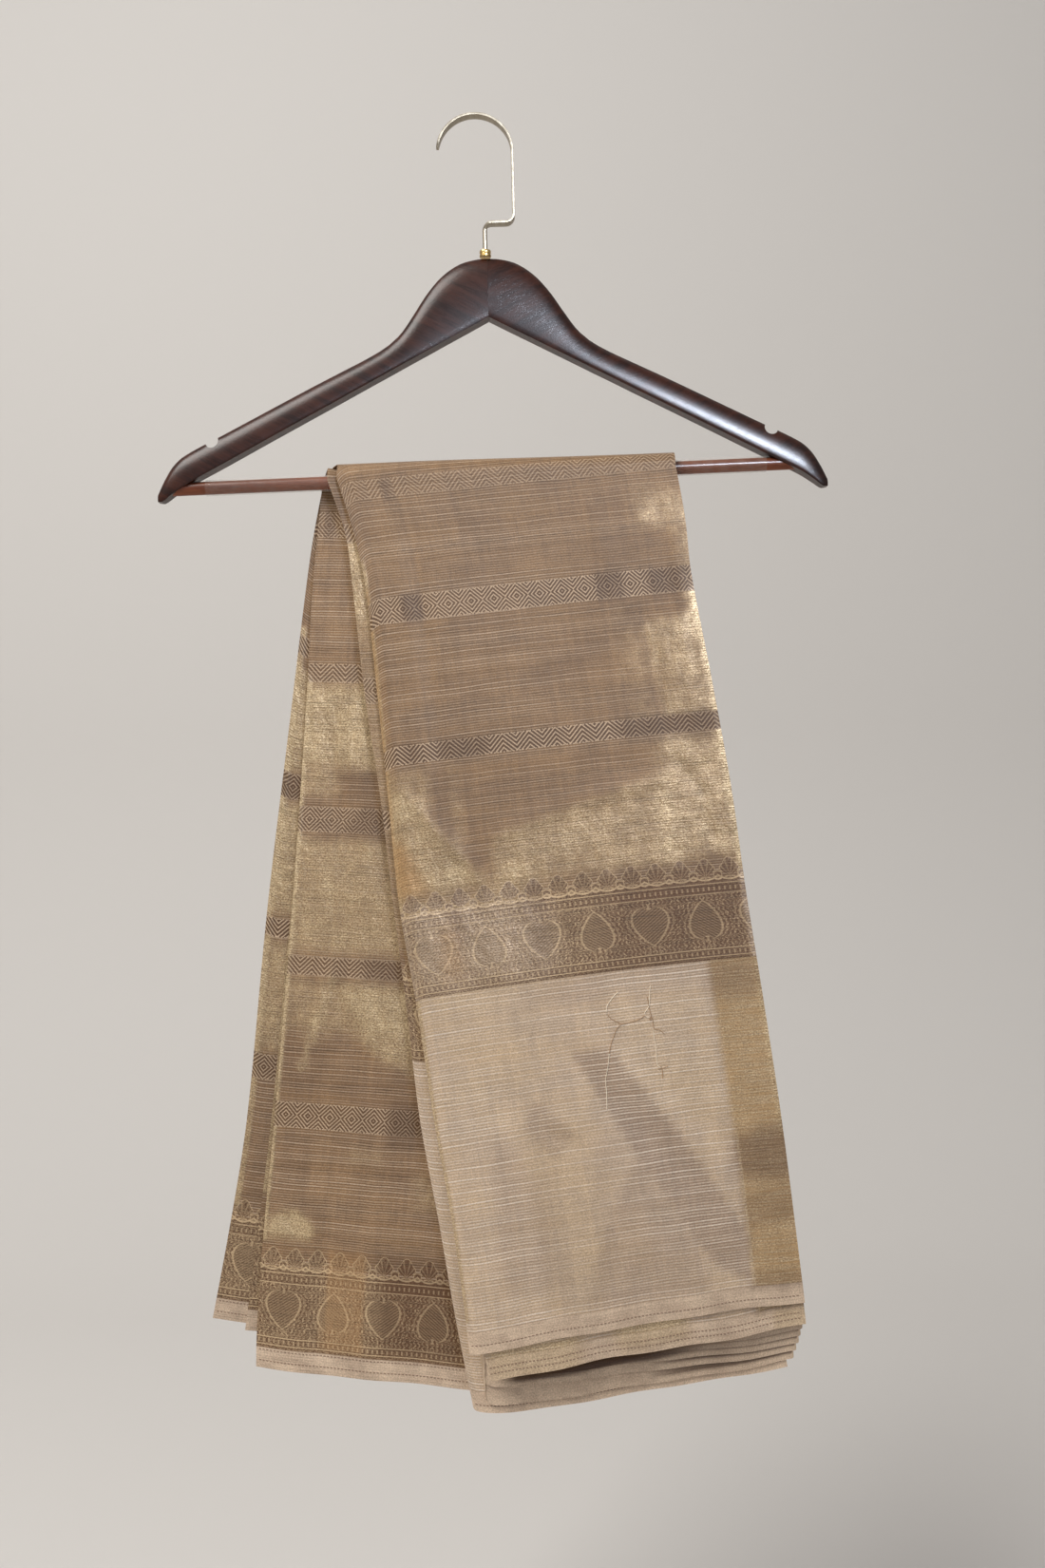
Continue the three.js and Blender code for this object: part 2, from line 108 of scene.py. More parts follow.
def makeStudio():
    world = bpy.data.worlds.new("air")
    world.use_nodes = True
    world.node_tree.nodes["Background"].inputs["Color"].default_value = studio["air"]
    world.node_tree.nodes["Background"].inputs["Strength"].default_value = studio["airStrength"]
    sc.world = world
    for name, place, target, width, height, watts, colour in lamps:
        light = bpy.data.lights.new(name, "AREA")
        light.shape = "RECTANGLE"
        light.size, light.size_y = width, height
        light.energy, light.color = watts, colour
        lamp = bpy.data.objects.new(name, light)
        lamp.location = place
        lamp.visible_diffuse = name != "glossLamp"
        lamp.rotation_euler = (Vector(target) - Vector(place)).to_track_quat("-Z", "Y").to_euler()
        sc.collection.objects.link(lamp)
    # floor that sweeps up into a plain wall far behind
    line = [(studio["front"], studio["floor"])]
    radius = studio["sweep"]
    for turn in evenly(-90, 0, 16):
        y = studio["wallAt"] - radius + radius * math.cos(math.radians(turn))
        line.append((y, studio["floor"] + radius + radius * math.sin(math.radians(turn))))
    line.append((studio["wallAt"], studio["top"]))
    points = [(side * studio["halfWidth"], y, z) for y, z in line for side in (-1, 1)]
    faces = [(2 * n, 2 * n + 1, 2 * n + 3, 2 * n + 2) for n in range(len(line) - 1)]
    mesh = bpy.data.meshes.new("floor")
    mesh.from_pydata(points, [], faces)
    mesh.shade_smooth()
    floor = bpy.data.objects.new("floor", mesh)
    sc.collection.objects.link(floor)
    mesh.materials.append(plainPaper())


class Bench:
    # short words for the wiring of a node tree
    def __init__(self, tree):
        self.tree = tree

    def node(self, kind, **settings):
        made = self.tree.nodes.new(kind)
        for key, value in settings.items():
            setattr(made, key, value)
        return made

    def feed(self, socket, value):
        if isinstance(value, bpy.types.NodeSocket):
            self.tree.links.new(value, socket)
        else:
            socket.default_value = value

    def calc(self, operation, *values):
        made = self.node("ShaderNodeMath", operation=operation)
        for socket, value in zip(made.inputs, values):
            self.feed(socket, value)
        return made.outputs[0]

    def add(self, a, b):
        return self.calc("ADD", a, b)

    def less(self, a, b):
        return self.calc("SUBTRACT", a, b)

    def times(self, *values):
        total = values[0]
        for value in values[1:]:
            total = self.calc("MULTIPLY", total, value)
        return total

    def most(self, *values):
        total = values[0]
        for value in values[1:]:
            total = self.calc("MAXIMUM", total, value)
        return total

    def between(self, value, low, high, start=0.0, end=1.0):
        # rises softly from start to end while value goes from low to high
        made = self.node("ShaderNodeMapRange", interpolation_type="SMOOTHSTEP")
        for socket, given in zip(made.inputs, (value, low, high, start, end)):
            self.feed(socket, given)
        return made.outputs[0]

    def near(self, value, reach, soft):
        # 1 where value is within reach of nought, falling off over soft
        end = self.add(reach, soft) if isinstance(reach, bpy.types.NodeSocket) else reach + soft
        return self.between(self.calc("ABSOLUTE", value), reach, end, 1.0, 0.0)

    def stripes(self, value, reach, soft):
        # a line in the middle of every whole step of value
        return self.near(self.less(self.calc("FRACT", value), 0.5), reach, soft)

    def blend(self, share, a, b):
        made = self.node("ShaderNodeMix", data_type="RGBA")
        self.feed(made.inputs[0], share)
        self.feed(made.inputs[6], a)
        self.feed(made.inputs[7], b)
        return made.outputs[2]

    def place(self, x, y, z=0.0):
        made = self.node("ShaderNodeCombineXYZ")
        for socket, value in zip(made.inputs, (x, y, z)):
            self.feed(socket, value)
        return made.outputs[0]

    def grain(self, vector, scale, detail=2.0, rough=0.5):
        made = self.node("ShaderNodeTexNoise")
        self.feed(made.inputs["Vector"], vector)
        made.inputs["Scale"].default_value = scale
        made.inputs["Detail"].default_value = detail
        made.inputs["Roughness"].default_value = rough
        return made.outputs[0]

    def specks(self, across, along, detail=2, rough=0.5, at=0.0):
        # grain over the flat cloth; across and along are already scaled
        return self.grain(self.place(across, along, at), 1.0, detail, rough)

    def relief(self, height, strength, distance, under=None):
        made = self.node("ShaderNodeBump")
        made.inputs["Strength"].default_value = strength
        made.inputs["Distance"].default_value = distance
        self.feed(made.inputs["Height"], height)
        if under:
            self.feed(made.inputs["Normal"], under)
        return made.outputs[0]

    def use(self, group, **values):
        made = self.node("ShaderNodeGroup", node_tree=group)
        for key, value in values.items():
            self.feed(made.inputs[key], value)
        return made


def newGroup(name, inputs, outputs):
    tree = bpy.data.node_groups.new(name, "ShaderNodeTree")
    for key in inputs:
        tree.interface.new_socket(key, in_out="INPUT", socket_type="NodeSocketFloat")
    for key in outputs:
        tree.interface.new_socket(key, in_out="OUTPUT", socket_type="NodeSocketFloat")
    bench = Bench(tree)
    return tree, bench, bench.node("NodeGroupInput").outputs, bench.node("NodeGroupOutput").inputs


def newMaterial(name):
    material = bpy.data.materials.new(name)
    material.use_nodes = True
    return material, Bench(material.node_tree), material.node_tree.nodes["Principled BSDF"].inputs


def plainPaper():
    material, bench, skin = newMaterial("studioPaper")
    fine = bench.grain(bench.node("ShaderNodeTexCoord").outputs["Object"], 900, 2)
    skin["Base Color"].default_value = studio["paper"]
    skin["Roughness"].default_value = 0.9
    skin["Specular IOR Level"].default_value = 0.1
    bench.feed(skin["Normal"], bench.relief(fine, 0.05, 0.0003))
    return material


# patterns of the weave, in millimetres over the flat cloth
def ribGroup():
    # thin pale weft lines of uneven strength, the dark gaps between them, and glints of the gold thread
    tree, b, given, out = newGroup("weftRibs", ("Across", "Along", "Pitch"), ("Rib", "Glint", "Gap"))
    sway = b.specks(b.times(given["Across"], 0.02), b.times(given["Along"], 0.05), 1)
    rows = b.add(b.calc("DIVIDE", given["Along"], given["Pitch"]), b.times(sway, 1.4))
    line = b.stripes(rows, 0.13, 0.2)
    dice = b.node("ShaderNodeTexWhiteNoise", noise_dimensions="1D")
    b.feed(dice.inputs["W"], b.calc("FLOOR", rows))
    strength = b.between(dice.outputs["Value"], 0.0, 0.9, 0.45, 1.0)
    patchy = b.specks(b.times(given["Across"], 0.05), b.times(given["Along"], 0.4), 2, 0.6)
    patchy = b.between(patchy, 0.3, 0.62, 0.78, 1.0)
    second = b.calc("FRACT", b.times(b.calc("FLOOR", rows), 0.5))
    b.feed(out["Rib"], b.times(line, strength, patchy, b.less(1.0, b.times(second, 0.85))))
    beside = b.stripes(b.add(rows, 0.5), 0.1, 0.22)
    deep = b.between(b.calc("FRACT", b.times(dice.outputs["Value"], 7.0)), 0.2, 1.0)
    broken = b.specks(b.times(given["Across"], 0.07), b.times(given["Along"], 0.6), 2, 0.6, 9.0)
    b.feed(out["Gap"], b.times(beside, deep, b.between(broken, 0.36, 0.6)))
    glint = b.specks(b.times(given["Across"], 0.75), b.times(given["Along"], 1.15), 2, 0.75)
    b.feed(out["Glint"], b.between(glint, 0.38, 0.62))
    return tree


def bandGroup(name, nested):
    # a narrow band of nested V lines, or of nested diamonds
    tree, b, given, out = newGroup(name, ("Across", "Along", "Middle", "Half", "Repeat"), ("Inside", "Line"))
    high = b.less(given["Along"], given["Middle"])
    b.feed(out["Inside"], b.near(high, b.less(given["Half"], 0.3), 0.5))
    turns = b.calc("FRACT", b.calc("DIVIDE", given["Across"], given["Repeat"]))
    sideways = b.times(b.calc("ABSOLUTE", b.less(turns, 0.5)), given["Repeat"])
    rise = b.calc("ABSOLUTE", high) if nested else high
    lines = b.calc("FRACT", b.times(b.add(rise, sideways), 0.36 if nested else 0.325))
    shown = b.between(b.calc("ABSOLUTE", b.less(lines, 0.5)), 0.25, 0.36)
    edge = b.near(b.less(b.calc("ABSOLUTE", high), b.less(given["Half"], 0.5)), 0.2, 0.3)
    dots = b.between(b.calc("FRACT", b.times(given["Across"], 0.48)), 0.3, 0.6)
    b.feed(out["Line"], b.most(shown, b.times(edge, dots)))
    return tree


# the border's figures: how far apart they stand, and how high they are above its foot
leafRow = {
    "leafPitch": 70.2, "leafAt": 26.5, "leafHigh": 25.8, "leafWide": 11.2, "beadPitch": 3.45, "lowBeads": 4.7,
    "highBeads": 46.8, "budPitch": 15.8, "budFoot": 54.5, "budAt": 60.6, "budWide": 5.3, "seedAt": 55.8,
}


def borderGroup():
    # hem side up: line, beads, leaves that point up and down by turns, beads, a row of buds
    tree, b, given, out = newGroup("leafBorder", ("Across", "Height"), ("Cover", "Light", "Leaf"))
    across, height = given["Across"], given["Height"]
    pitch, budPitch = leafRow["leafPitch"], leafRow["budPitch"]

    def row(at, reach):
        return b.near(b.less(height, at), reach, 0.3)

    def beads(at):
        beat = b.calc("FRACT", b.calc("DIVIDE", across, leafRow["beadPitch"]))
        off = b.calc("ABSOLUTE", b.less(beat, 0.5))
        return b.times(b.between(off, 0.12, 0.22, 1.0, 0.0), row(at, 1.1))

    # leaves with a notched round end, every other one upside down
    cell = b.less(b.times(b.calc("FRACT", b.calc("DIVIDE", across, pitch)), pitch), pitch / 2)
    turn = b.calc("SIGN", cell)
    beside = b.calc("ABSOLUTE", b.less(cell, b.times(turn, pitch / 4)))
    rise = b.times(b.less(height, leafRow["leafAt"]), turn)
    up = b.calc("DIVIDE", b.add(rise, leafRow["leafHigh"] / 2), leafRow["leafHigh"])
    dent = b.times(b.between(beside, 0.0, 4.6, 0.11, 0.0), b.between(up, 0.0, 0.6, 1.0, 0.0))
    up = b.calc("MINIMUM", b.most(b.less(up, dent), 0.0), 1.0)
    arch = b.calc("SINE", b.times(b.calc("POWER", up, 0.66), math.pi))
    wide = b.times(b.calc("POWER", b.most(arch, 0.0), 0.72),
                   b.add(leafRow["leafWide"], b.times(turn, -0.7)))
    outside = b.less(beside, wide)
    within = b.near(rise, 13.5, 0.6)
    leaf = b.times(b.between(outside, -0.6, 0.1, 1.0, 0.0), within)
    rim = b.times(b.near(outside, 0.5, 0.5), b.near(rise, 13.7, 0.6), 0.85)
    # jagged rings that echo the leaves, with small knots among them
    saw = b.times(b.calc("ABSOLUTE", b.less(b.calc("FRACT", b.calc("DIVIDE", height, 3.6)), 0.5)), 3.2)
    rings = b.stripes(b.calc("DIVIDE", b.add(outside, saw), 2.9), 0.1, 0.2)
    knots = b.specks(b.times(across, 0.55), b.times(height, 0.55), 1, 0.5, 4.0)
    curls = b.most(b.times(rings, b.between(knots, 0.34, 0.56, 0.95, 0.35)),
                   b.times(b.between(knots, 0.6, 0.7), 0.8))
    halo = b.times(b.near(b.less(outside, 3.0), 0.3, 0.4), 0.5)
    hatch = b.stripes(b.times(b.add(b.times(cell, 0.7), rise), 0.5), 0.12, 0.2)
    field = b.times(b.most(curls, halo), b.less(1.0, leaf))
    field = b.most(field, b.times(leaf, b.add(0.12, b.times(hatch, 0.38))))
    field = b.times(b.most(field, rim), b.near(b.less(height, 25.4), 17.6, 0.4))
    # fan shaped buds over small seeds, with swags below
    half = b.times(b.less(b.calc("FRACT", b.calc("DIVIDE", across, budPitch)), 0.5), budPitch)
    side = b.calc("ABSOLUTE", half)
    far = b.less(budPitch / 2, side)
    fan = b.calc("ARCTAN2", half, b.less(height, leafRow["budFoot"]))
    petal = b.times(b.calc("COSINE", b.times(fan, 7.0)), 0.8)
    reach = b.calc("SQRT", b.add(b.times(half, half), b.calc("POWER", b.less(height, leafRow["budAt"]), 2.0)))
    big = b.less(reach, b.add(leafRow["budWide"], petal))
    small = b.calc("SQRT", b.add(b.times(far, far), b.calc("POWER", b.less(height, leafRow["seedAt"]), 2.0)))
    bud = b.most(b.near(b.less(big, 0.8), 0.5, 0.5), b.near(b.less(small, 3.0), 0.4, 0.5))
    inBud = b.most(b.between(big, 0.2, 0.7, 1.0, 0.0), b.between(small, 2.6, 3.1, 1.0, 0.0))
    swag = b.near(b.less(height, b.add(52.4, b.times(side, side, 0.05))), 0.4, 0.45)
    veins = b.stripes(b.times(fan, 2.2), 0.08, 0.14)
    budRow = b.most(b.most(bud, swag), b.times(veins, inBud, 0.5))
    budRow = b.times(budRow, b.between(height, 50.9, 51.3))
    lines = b.most(b.most(row(2.2, 0.15), row(7.2, 0.2)),
                   b.most(row(43.6, 0.2), row(50.2, 0.2)))
    dots = b.times(b.most(beads(leafRow["lowBeads"]), beads(leafRow["highBeads"])), 0.7)
    figures = b.most(field, budRow)
    b.feed(out["Light"], b.most(figures, b.most(lines, dots)))
    low = b.times(b.between(height, -0.3, 0.2), b.between(height, 51.0, 51.6, 1.0, 0.0))
    inRow = b.times(b.most(inBud, b.between(height, 53.6, 55.4, 1.0, 0.0)),
                    b.between(height, 50.4, 50.9), b.between(height, 67.0, 67.6, 1.0, 0.0))
    b.feed(out["Cover"], b.most(low, inRow))
    b.feed(out["Leaf"], b.times(leaf, b.between(height, 8.0, 8.4)))
    return tree


ribs = ribGroup()
bandKinds = {"chevron": bandGroup("chevronBand", False), "diamond": bandGroup("diamondBand", True)}
leafBorder = borderGroup()

# colours of the cloth; the two gold colours are those of the painted sheen, deep is that of the painted
# shade, shade is that of the painted shade and of the hem seam line, and mauve is painted shade on the cream
# end as well as mottle on the hems
dye = {
    "ground": paint(126, 98, 71), "groundWarm": paint(143, 112, 79), "rib": paint(190, 168, 147),
    "cream": paint(188, 166, 145), "creamWarm": paint(197, 172, 144), "creamRib": paint(229, 216, 203),
    "goldSheen": paint(143, 117, 87), "goldBright": paint(224, 203, 166), "shade": paint(102, 76, 54),
    "mauve": paint(142, 118, 102), "orange": paint(184, 142, 94), "selvedge": paint(172, 140, 97),
    "bandDark": paint(82, 56, 35), "bandMid": paint(90, 64, 42), "bandPale": paint(206, 182, 156),
    "borderDark": paint(94, 64, 42), "borderPale": paint(216, 190, 154), "hem": paint(216, 195, 174),
    "deep": paint(76, 51, 30),
}
weave = {
    "hemLine": 14.0, "creamTop": 229.5, "pitch": 1.9, "creamPitch": 1.68, "strip": (189.0, 196.0),
    "chevron": (6.4, 17.5), "diamond": (8.7, 15.6),  # half height and repeat of each band
    "tone": (0.9, 0.875, 0.835), "goldMetal": 0.2,
}


def tissueMaterial(name, bands, total, lift=1.0):
    # total is the length from hem to hem; lift brightens the whole, painted light for a stretch that hangs in
    # shade
    material, b, skin = newMaterial(name)
    flat = b.node("ShaderNodeSeparateXYZ")
    b.feed(flat.inputs[0], b.node("ShaderNodeUVMap", uv_map="flatCloth").outputs[0])
    across, along = b.times(flat.outputs[0], 1000.0), b.times(flat.outputs[1], 1000.0)
    hemLine, creamTop = weave["hemLine"], weave["creamTop"]
    # the light attribute paints light into the colour: gold is painted sheen, shade is painted shade, warm
    # tints orange, and its alpha sets how clearly the ribs show
    tone = b.node("ShaderNodeSeparateColor")
    toneIn = b.node("ShaderNodeAttribute", attribute_name="light")
    b.feed(tone.inputs[0], toneIn.outputs["Color"])
    goldSheen, shade, warm = tone.outputs
    clear = toneIn.outputs["Alpha"]
    ragged = b.specks(b.times(across, 0.12), b.times(along, 0.5), 3, 0.7)
    cloud = b.specks(b.times(across, 0.07), b.times(along, 0.045), 3, 0.6, 3.0)
    drift = b.add(b.times(b.less(ragged, 0.5), 0.8), b.times(b.less(cloud, 0.5), 1.1))
    drift = b.times(drift, b.between(along, hemLine + 200, hemLine + 232, 0.35, 1.0))
    goldSheen = b.add(goldSheen, b.times(drift, b.add(0.35, b.times(b.near(b.less(goldSheen, 0.5), 0.25, 0.3), 0.3))))
    goldSheen = b.between(goldSheen, 0.02, 1.05)

    # ground, cream end and ribs
    cream = b.between(along, creamTop - 0.4, creamTop + 0.2, 1.0, 0.0)
    pitch = b.between(along, creamTop - 1, creamTop + 1, weave["pitch"], weave["creamPitch"])
    weft = b.use(ribs, Across=across, Along=along, Pitch=pitch)
    blotch = b.specks(b.times(across, 0.02), b.times(along, 0.03), 3, 0.6)
    warp = b.specks(b.times(across, 0.3), b.times(along, 0.008))
    streak = b.between(b.add(b.times(blotch, 0.75), b.times(warp, 0.25)), 0.36, 0.64)
    colour = b.blend(cream, b.blend(streak, dye["ground"], dye["groundWarm"]),
                     b.blend(streak, dye["cream"], dye["creamWarm"]))
    colour = b.blend(b.times(shade, 0.9), colour, b.blend(cream, dye["shade"], dye["mauve"]))
    ribShare = b.times(weft.outputs["Rib"], b.between(clear, 0.0, 1.0, 0.25, 1.0),
                       b.less(1.0, b.times(goldSheen, 0.55)))
    colour = b.blend(ribShare, colour, b.blend(cream, dye["rib"], dye["creamRib"]))

    # painted sheen: the tissue turns gold where it catches the light
    glint = weft.outputs["Glint"]
    lit = b.add(b.times(glint, 0.78), b.between(goldSheen, 0.8, 1.0, 0.04, 0.22))
    lit = b.blend(lit, dye["goldSheen"], dye["goldBright"])
    colour = b.blend(b.times(goldSheen, b.between(weft.outputs["Rib"], 0.0, 1.0, 0.95, 0.6)), colour, lit)
    colour = b.blend(b.times(warm, 0.7), colour, dye["orange"])

    # woven bands
    inside, line = None, None
    for kind, middle, strength in bands:
        half, repeat = weave[kind]
        band = b.use(bandKinds[kind], Across=across, Along=along, Middle=middle, Half=half, Repeat=repeat)
        cover = b.times(band.outputs["Inside"], strength)
        inside = b.most(inside, cover) if inside else cover
        part = b.times(band.outputs["Inside"], band.outputs["Line"])
        line = b.most(line, part) if line else part
    tint = b.blend(b.between(clear, 0.6, 1.0, 0.0, 0.35), dye["bandMid"], dye["ground"])
    tint = b.blend(b.most(shade, b.times(warm, 0.5)), tint, dye["bandDark"])
    woven = b.blend(b.times(line, b.between(shade, 0.0, 1.0, 0.95, 0.5)), tint, dye["bandPale"])
    colour = b.blend(inside, colour, woven)

    # big leaf borders, one above each hem
    for height in (b.less(along, creamTop), b.less(total - hemLine, along)):
        border = b.use(leafBorder, Across=across, Height=height)
        # the figures dim under painted shade and take painted glints and painted sheen
        light = b.times(border.outputs["Light"], b.between(shade, 0.0, 1.0, 0.88, 0.5))
        light = b.most(light, b.times(glint, b.less(1.0, shade), 0.45))
        dark = b.blend(b.times(border.outputs["Leaf"], 0.4), dye["borderDark"], dye["bandDark"])
        figured = b.blend(light, dark, dye["borderPale"])
        figured = b.blend(b.times(goldSheen, 0.32), figured, b.blend(glint, dye["rib"], dye["creamRib"]))
        figured = b.blend(b.times(warm, 0.6), figured, dye["orange"])
        colour = b.blend(border.outputs["Cover"], colour, figured)

    # golden selvedge strip beside the cream end, then the turned hems
    strip = b.times(b.between(b.add(across, b.times(ragged, 5.0)), *weave["strip"]), cream)
    bars = b.specks(b.times(across, 0.03), b.times(along, 0.9), 3, 0.8)
    # a painted highlight along the crease at the strip's edge
    foldHighlight = b.near(b.less(across, b.add(190.3, b.times(along, 0.014))), 0.5, 0.6)
    bars = b.most(bars, b.times(foldHighlight, b.between(along, 100.0, 120.0, 0.9, 0.45)))
    lace = b.blend(b.between(bars, 0.4, 0.62), dye["selvedge"], lit)
    lace = b.blend(b.times(goldSheen, 0.75), lace, lit)
    lace = b.blend(b.times(shade, b.between(bars, 0.34, 0.66, 0.85, 0.45)), lace, dye["shade"])
    colour = b.blend(b.times(strip, 0.9), colour, lace)
    fromEnd = b.calc("MINIMUM", along, b.less(total, along))
    turned = b.between(fromEnd, hemLine - 0.4, hemLine, 1.0, 0.0)
    fine = b.grain(b.place(across, along), 1.4, 2, 0.7)
    cloudy = b.specks(b.times(across, 0.05), b.times(along, 0.1))
    mottle = b.between(b.add(b.times(fine, 0.5), b.times(cloudy, 0.5)), 0.4, 0.6, 0.0, 0.4)
    hemColour = b.blend(mottle, dye["hem"], dye["mauve"])
    hemColour = b.blend(b.times(goldSheen, 0.5), hemColour, lit)
    colour = b.blend(turned, colour, hemColour)
    seam = b.near(b.less(fromEnd, hemLine - 0.2), 0.25, 0.4)
    colour = b.blend(b.times(seam, 0.22), colour, dye["shade"])
    # painted shade: the hems darken to deep brown where painted shade lies on them, and so does the strongest
    # painted shade anywhere
    colour = b.blend(b.between(shade, 0.1, 1.0, 0.0, b.times(turned, 0.95)), colour, dye["deep"])
    colour = b.blend(b.between(shade, 0.96, 1.0), colour, dye["deep"])

    # thread-scale sparkle over everything
    sparkle = b.specks(b.times(across, 0.95), b.times(along, 0.95), 2, 0.7, 7.0)
    level = b.times(b.between(sparkle, 0.34, 0.66, 0.82, 1.18), b.between(warp, 0.3, 0.7, 0.97, 1.03))
    level = b.times(level, b.between(cloud, 0.3, 0.7, 0.94, 1.06))
    gaps = b.times(weft.outputs["Gap"], b.between(cream, 0.0, 1.0, 0.42, 0.14), b.less(1.0, inside))
    level = b.times(level, b.less(1.0, gaps))
    tinted = b.node("ShaderNodeVectorMath", operation="SCALE")
    b.feed(tinted.inputs[0], colour)
    b.feed(tinted.inputs["Scale"], level)
    toned = b.node("ShaderNodeVectorMath", operation="MULTIPLY")
    b.feed(toned.inputs[0], tinted.outputs[0])
    toned.inputs[1].default_value = [share * lift for share in weave["tone"]]
    b.feed(skin["Base Color"], toned.outputs[0])
    metal = b.times(goldSheen, weave["goldMetal"], b.less(1.0, inside))
    b.feed(skin["Metallic"], b.times(b.add(metal, 0.06), b.less(1.0, turned)))
    b.feed(skin["Roughness"], b.add(b.between(goldSheen, 0.0, 1.0, 0.56, 0.4), b.times(ragged, 0.1)))
    skin["Sheen Weight"].default_value = 0.3
    skin["Sheen Roughness"].default_value = 0.35
    skin["Specular IOR Level"].default_value = 0.22
    # crumple of the tissue under the relief of its threads
    crumple = b.specks(b.times(across, 0.13), b.times(along, 0.085), 3, 0.55, 5.0)
    soft = b.relief(b.times(crumple, b.add(0.4, b.times(goldSheen, 0.6))), 1.0, 0.001)
    threads = b.add(b.times(weft.outputs["Rib"], b.less(1.0, inside)), b.times(sparkle, 0.6))
    b.feed(skin["Normal"], b.relief(threads, 0.35, 0.0002, soft))
    return material


def loftPiece(name, rings, closed=False):
    # rings of points are laid as circles, bridged one to the next, and capped or joined end to end
    bpy.ops.object.select_all(action="DESELECT")
    bpy.ops.mesh.primitive_circle_add(vertices=len(rings[0]), radius=0.01)
    piece = bpy.context.active_object
    piece.name = piece.data.name = name
    bpy.ops.object.mode_set(mode="EDIT")
    for _ in rings[1:]:
        bpy.ops.mesh.primitive_circle_add(vertices=len(rings[0]), radius=0.01)
    body = bmesh.from_edit_mesh(piece.data)
    body.verts.ensure_lookup_table()
    for vert, point in zip(body.verts, (p for ring in rings for p in ring)):
        vert.co = Vector(point) * mm
    bmesh.update_edit_mesh(piece.data)
    count = len(rings[0])
    pairs = [(n, n + 1) for n in range(len(rings) - 1)] + ([(len(rings) - 1, 0)] if closed else [])
    for first, second in pairs:
        pickRings(piece, count, (first, second))
        bpy.ops.mesh.bridge_edge_loops()
    if not closed:
        for end in (0, len(rings) - 1):
            pickRings(piece, count, (end,))
            bpy.ops.mesh.edge_face_add()
    bpy.ops.mesh.select_all(action="SELECT")
    bpy.ops.mesh.normals_make_consistent(inside=False)
    bpy.ops.object.mode_set(mode="OBJECT")
    return piece


def pickAlone(piece):
    bpy.ops.object.select_all(action="DESELECT")
    bpy.context.view_layer.objects.active = piece
    piece.select_set(True)


def pickRings(piece, count, wanted):
    bpy.ops.mesh.select_mode(type="EDGE")
    bpy.ops.mesh.select_all(action="DESELECT")
    body = bmesh.from_edit_mesh(piece.data)
    for edge in body.edges:
        first, second = (vert.index for vert in edge.verts)
        edge.select_set(first // count == second // count and first // count in wanted)
    bmesh.update_edit_mesh(piece.data)


def finishPiece(piece, material, slotName, *nodes, angle=35):
    pickAlone(piece)
    bpy.ops.object.shade_smooth_by_angle(angle=math.radians(angle))
    piece.data.materials.clear()
    piece.data.materials.append(material)
    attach(piece, "root")
    if nodes:
        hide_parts(*nodes)


def cutAway(piece, cutter):
    pickAlone(piece)
    cut = piece.modifiers.new("cut", "BOOLEAN")
    cut.operation, cut.solver, cut.object = "DIFFERENCE", "EXACT", cutter
    bpy.ops.object.modifier_apply(modifier="cut")
    bpy.data.objects.remove(cutter)


# the hanger
bar = {"height": -236.4, "slope": math.tan(math.radians(1.08)), "radius": 4.3, "bevel": 0.6,
       "left": -212, "right": 208}
sleeve = {"inner": 4.62, "outer": 5.2, "edge": 0.12, "left": -188, "right": 181}
arm = {
    "middle": 0.8, "thick": 12, "joint": 0.03, "notch": (184.3, -209.7, 4.6), "boreClear": 0.25,
    # distance out from the middle, top edge, bottom edge, share of the full thickness
    "edges": [
        (0, -92.7, -133.2, 1), (8, -93.2, -137.4, 1), (19.3, -96.4, -143.3, 1), (31.1, -104.6, -149.4, 1),
        (41, -116, -154.6, 1), (49.9, -129.3, -159.2, 1), (58.1, -140.8, -163.5, 1), (67, -148.9, -168.2, 1),
        (79, -156, -174.4, 1), (96.5, -164.6, -183.6, 1), (115, -173.6, -193.2, 1),
        (144.2, -188.3, -208.4, 1),
        (175, -203.9, -224.6, 1), (203, -218.2, -239.2, 0.98), (211, -225.6, -244.6, 0.9),
        (217, -235.6, -248.9, 0.72), (220.4, -243, -248.7, 0.5),
    ],
    # share of the height, share of the half thickness: a flat underside, sharp front foot, crowned faces
    "profile": [
        (0, -0.9), (0.03, -0.96), (0.1, -0.99), (0.2, -1.0), (0.34, -0.985), (0.48, -0.94), (0.62, -0.86),
        (0.74, -0.74), (0.84, -0.58), (0.92, -0.38), (0.97, -0.18), (0.99, 0), (0.97, 0.2), (0.92, 0.42),
        (0.84, 0.62), (0.72, 0.8), (0.55, 0.93), (0.35, 0.98), (0.15, 0.98), (0.04, 0.94), (0, 0.84),
        (0, 0.3), (0, -0.3),
    ],
}
hook = {
    "thick": 1.8, "deep": 7, "bow": (-5.8, -23.2, 24.7), "tip": 172, "dogleg": -70.1, "outerBend": 5.5,
    "innerBend": 4.5, "stemX": -0.4, "stemRadius": 1.5, "stemEnd": -87.6,
}
collar = [(0, -92.3), (3.5, -92.3), (3.8, -91.9), (3.8, -90.9), (3.45, -90.5), (3.4, -90.0), (3.75, -89.6),
          (3.8, -88.8), (3.6, -88.0), (3.4, -87.9), (1.6, -87.9), (1.6, -88.6), (0, -88.6)]


def barZ(x):
    return bar["height"] + bar["slope"] * x


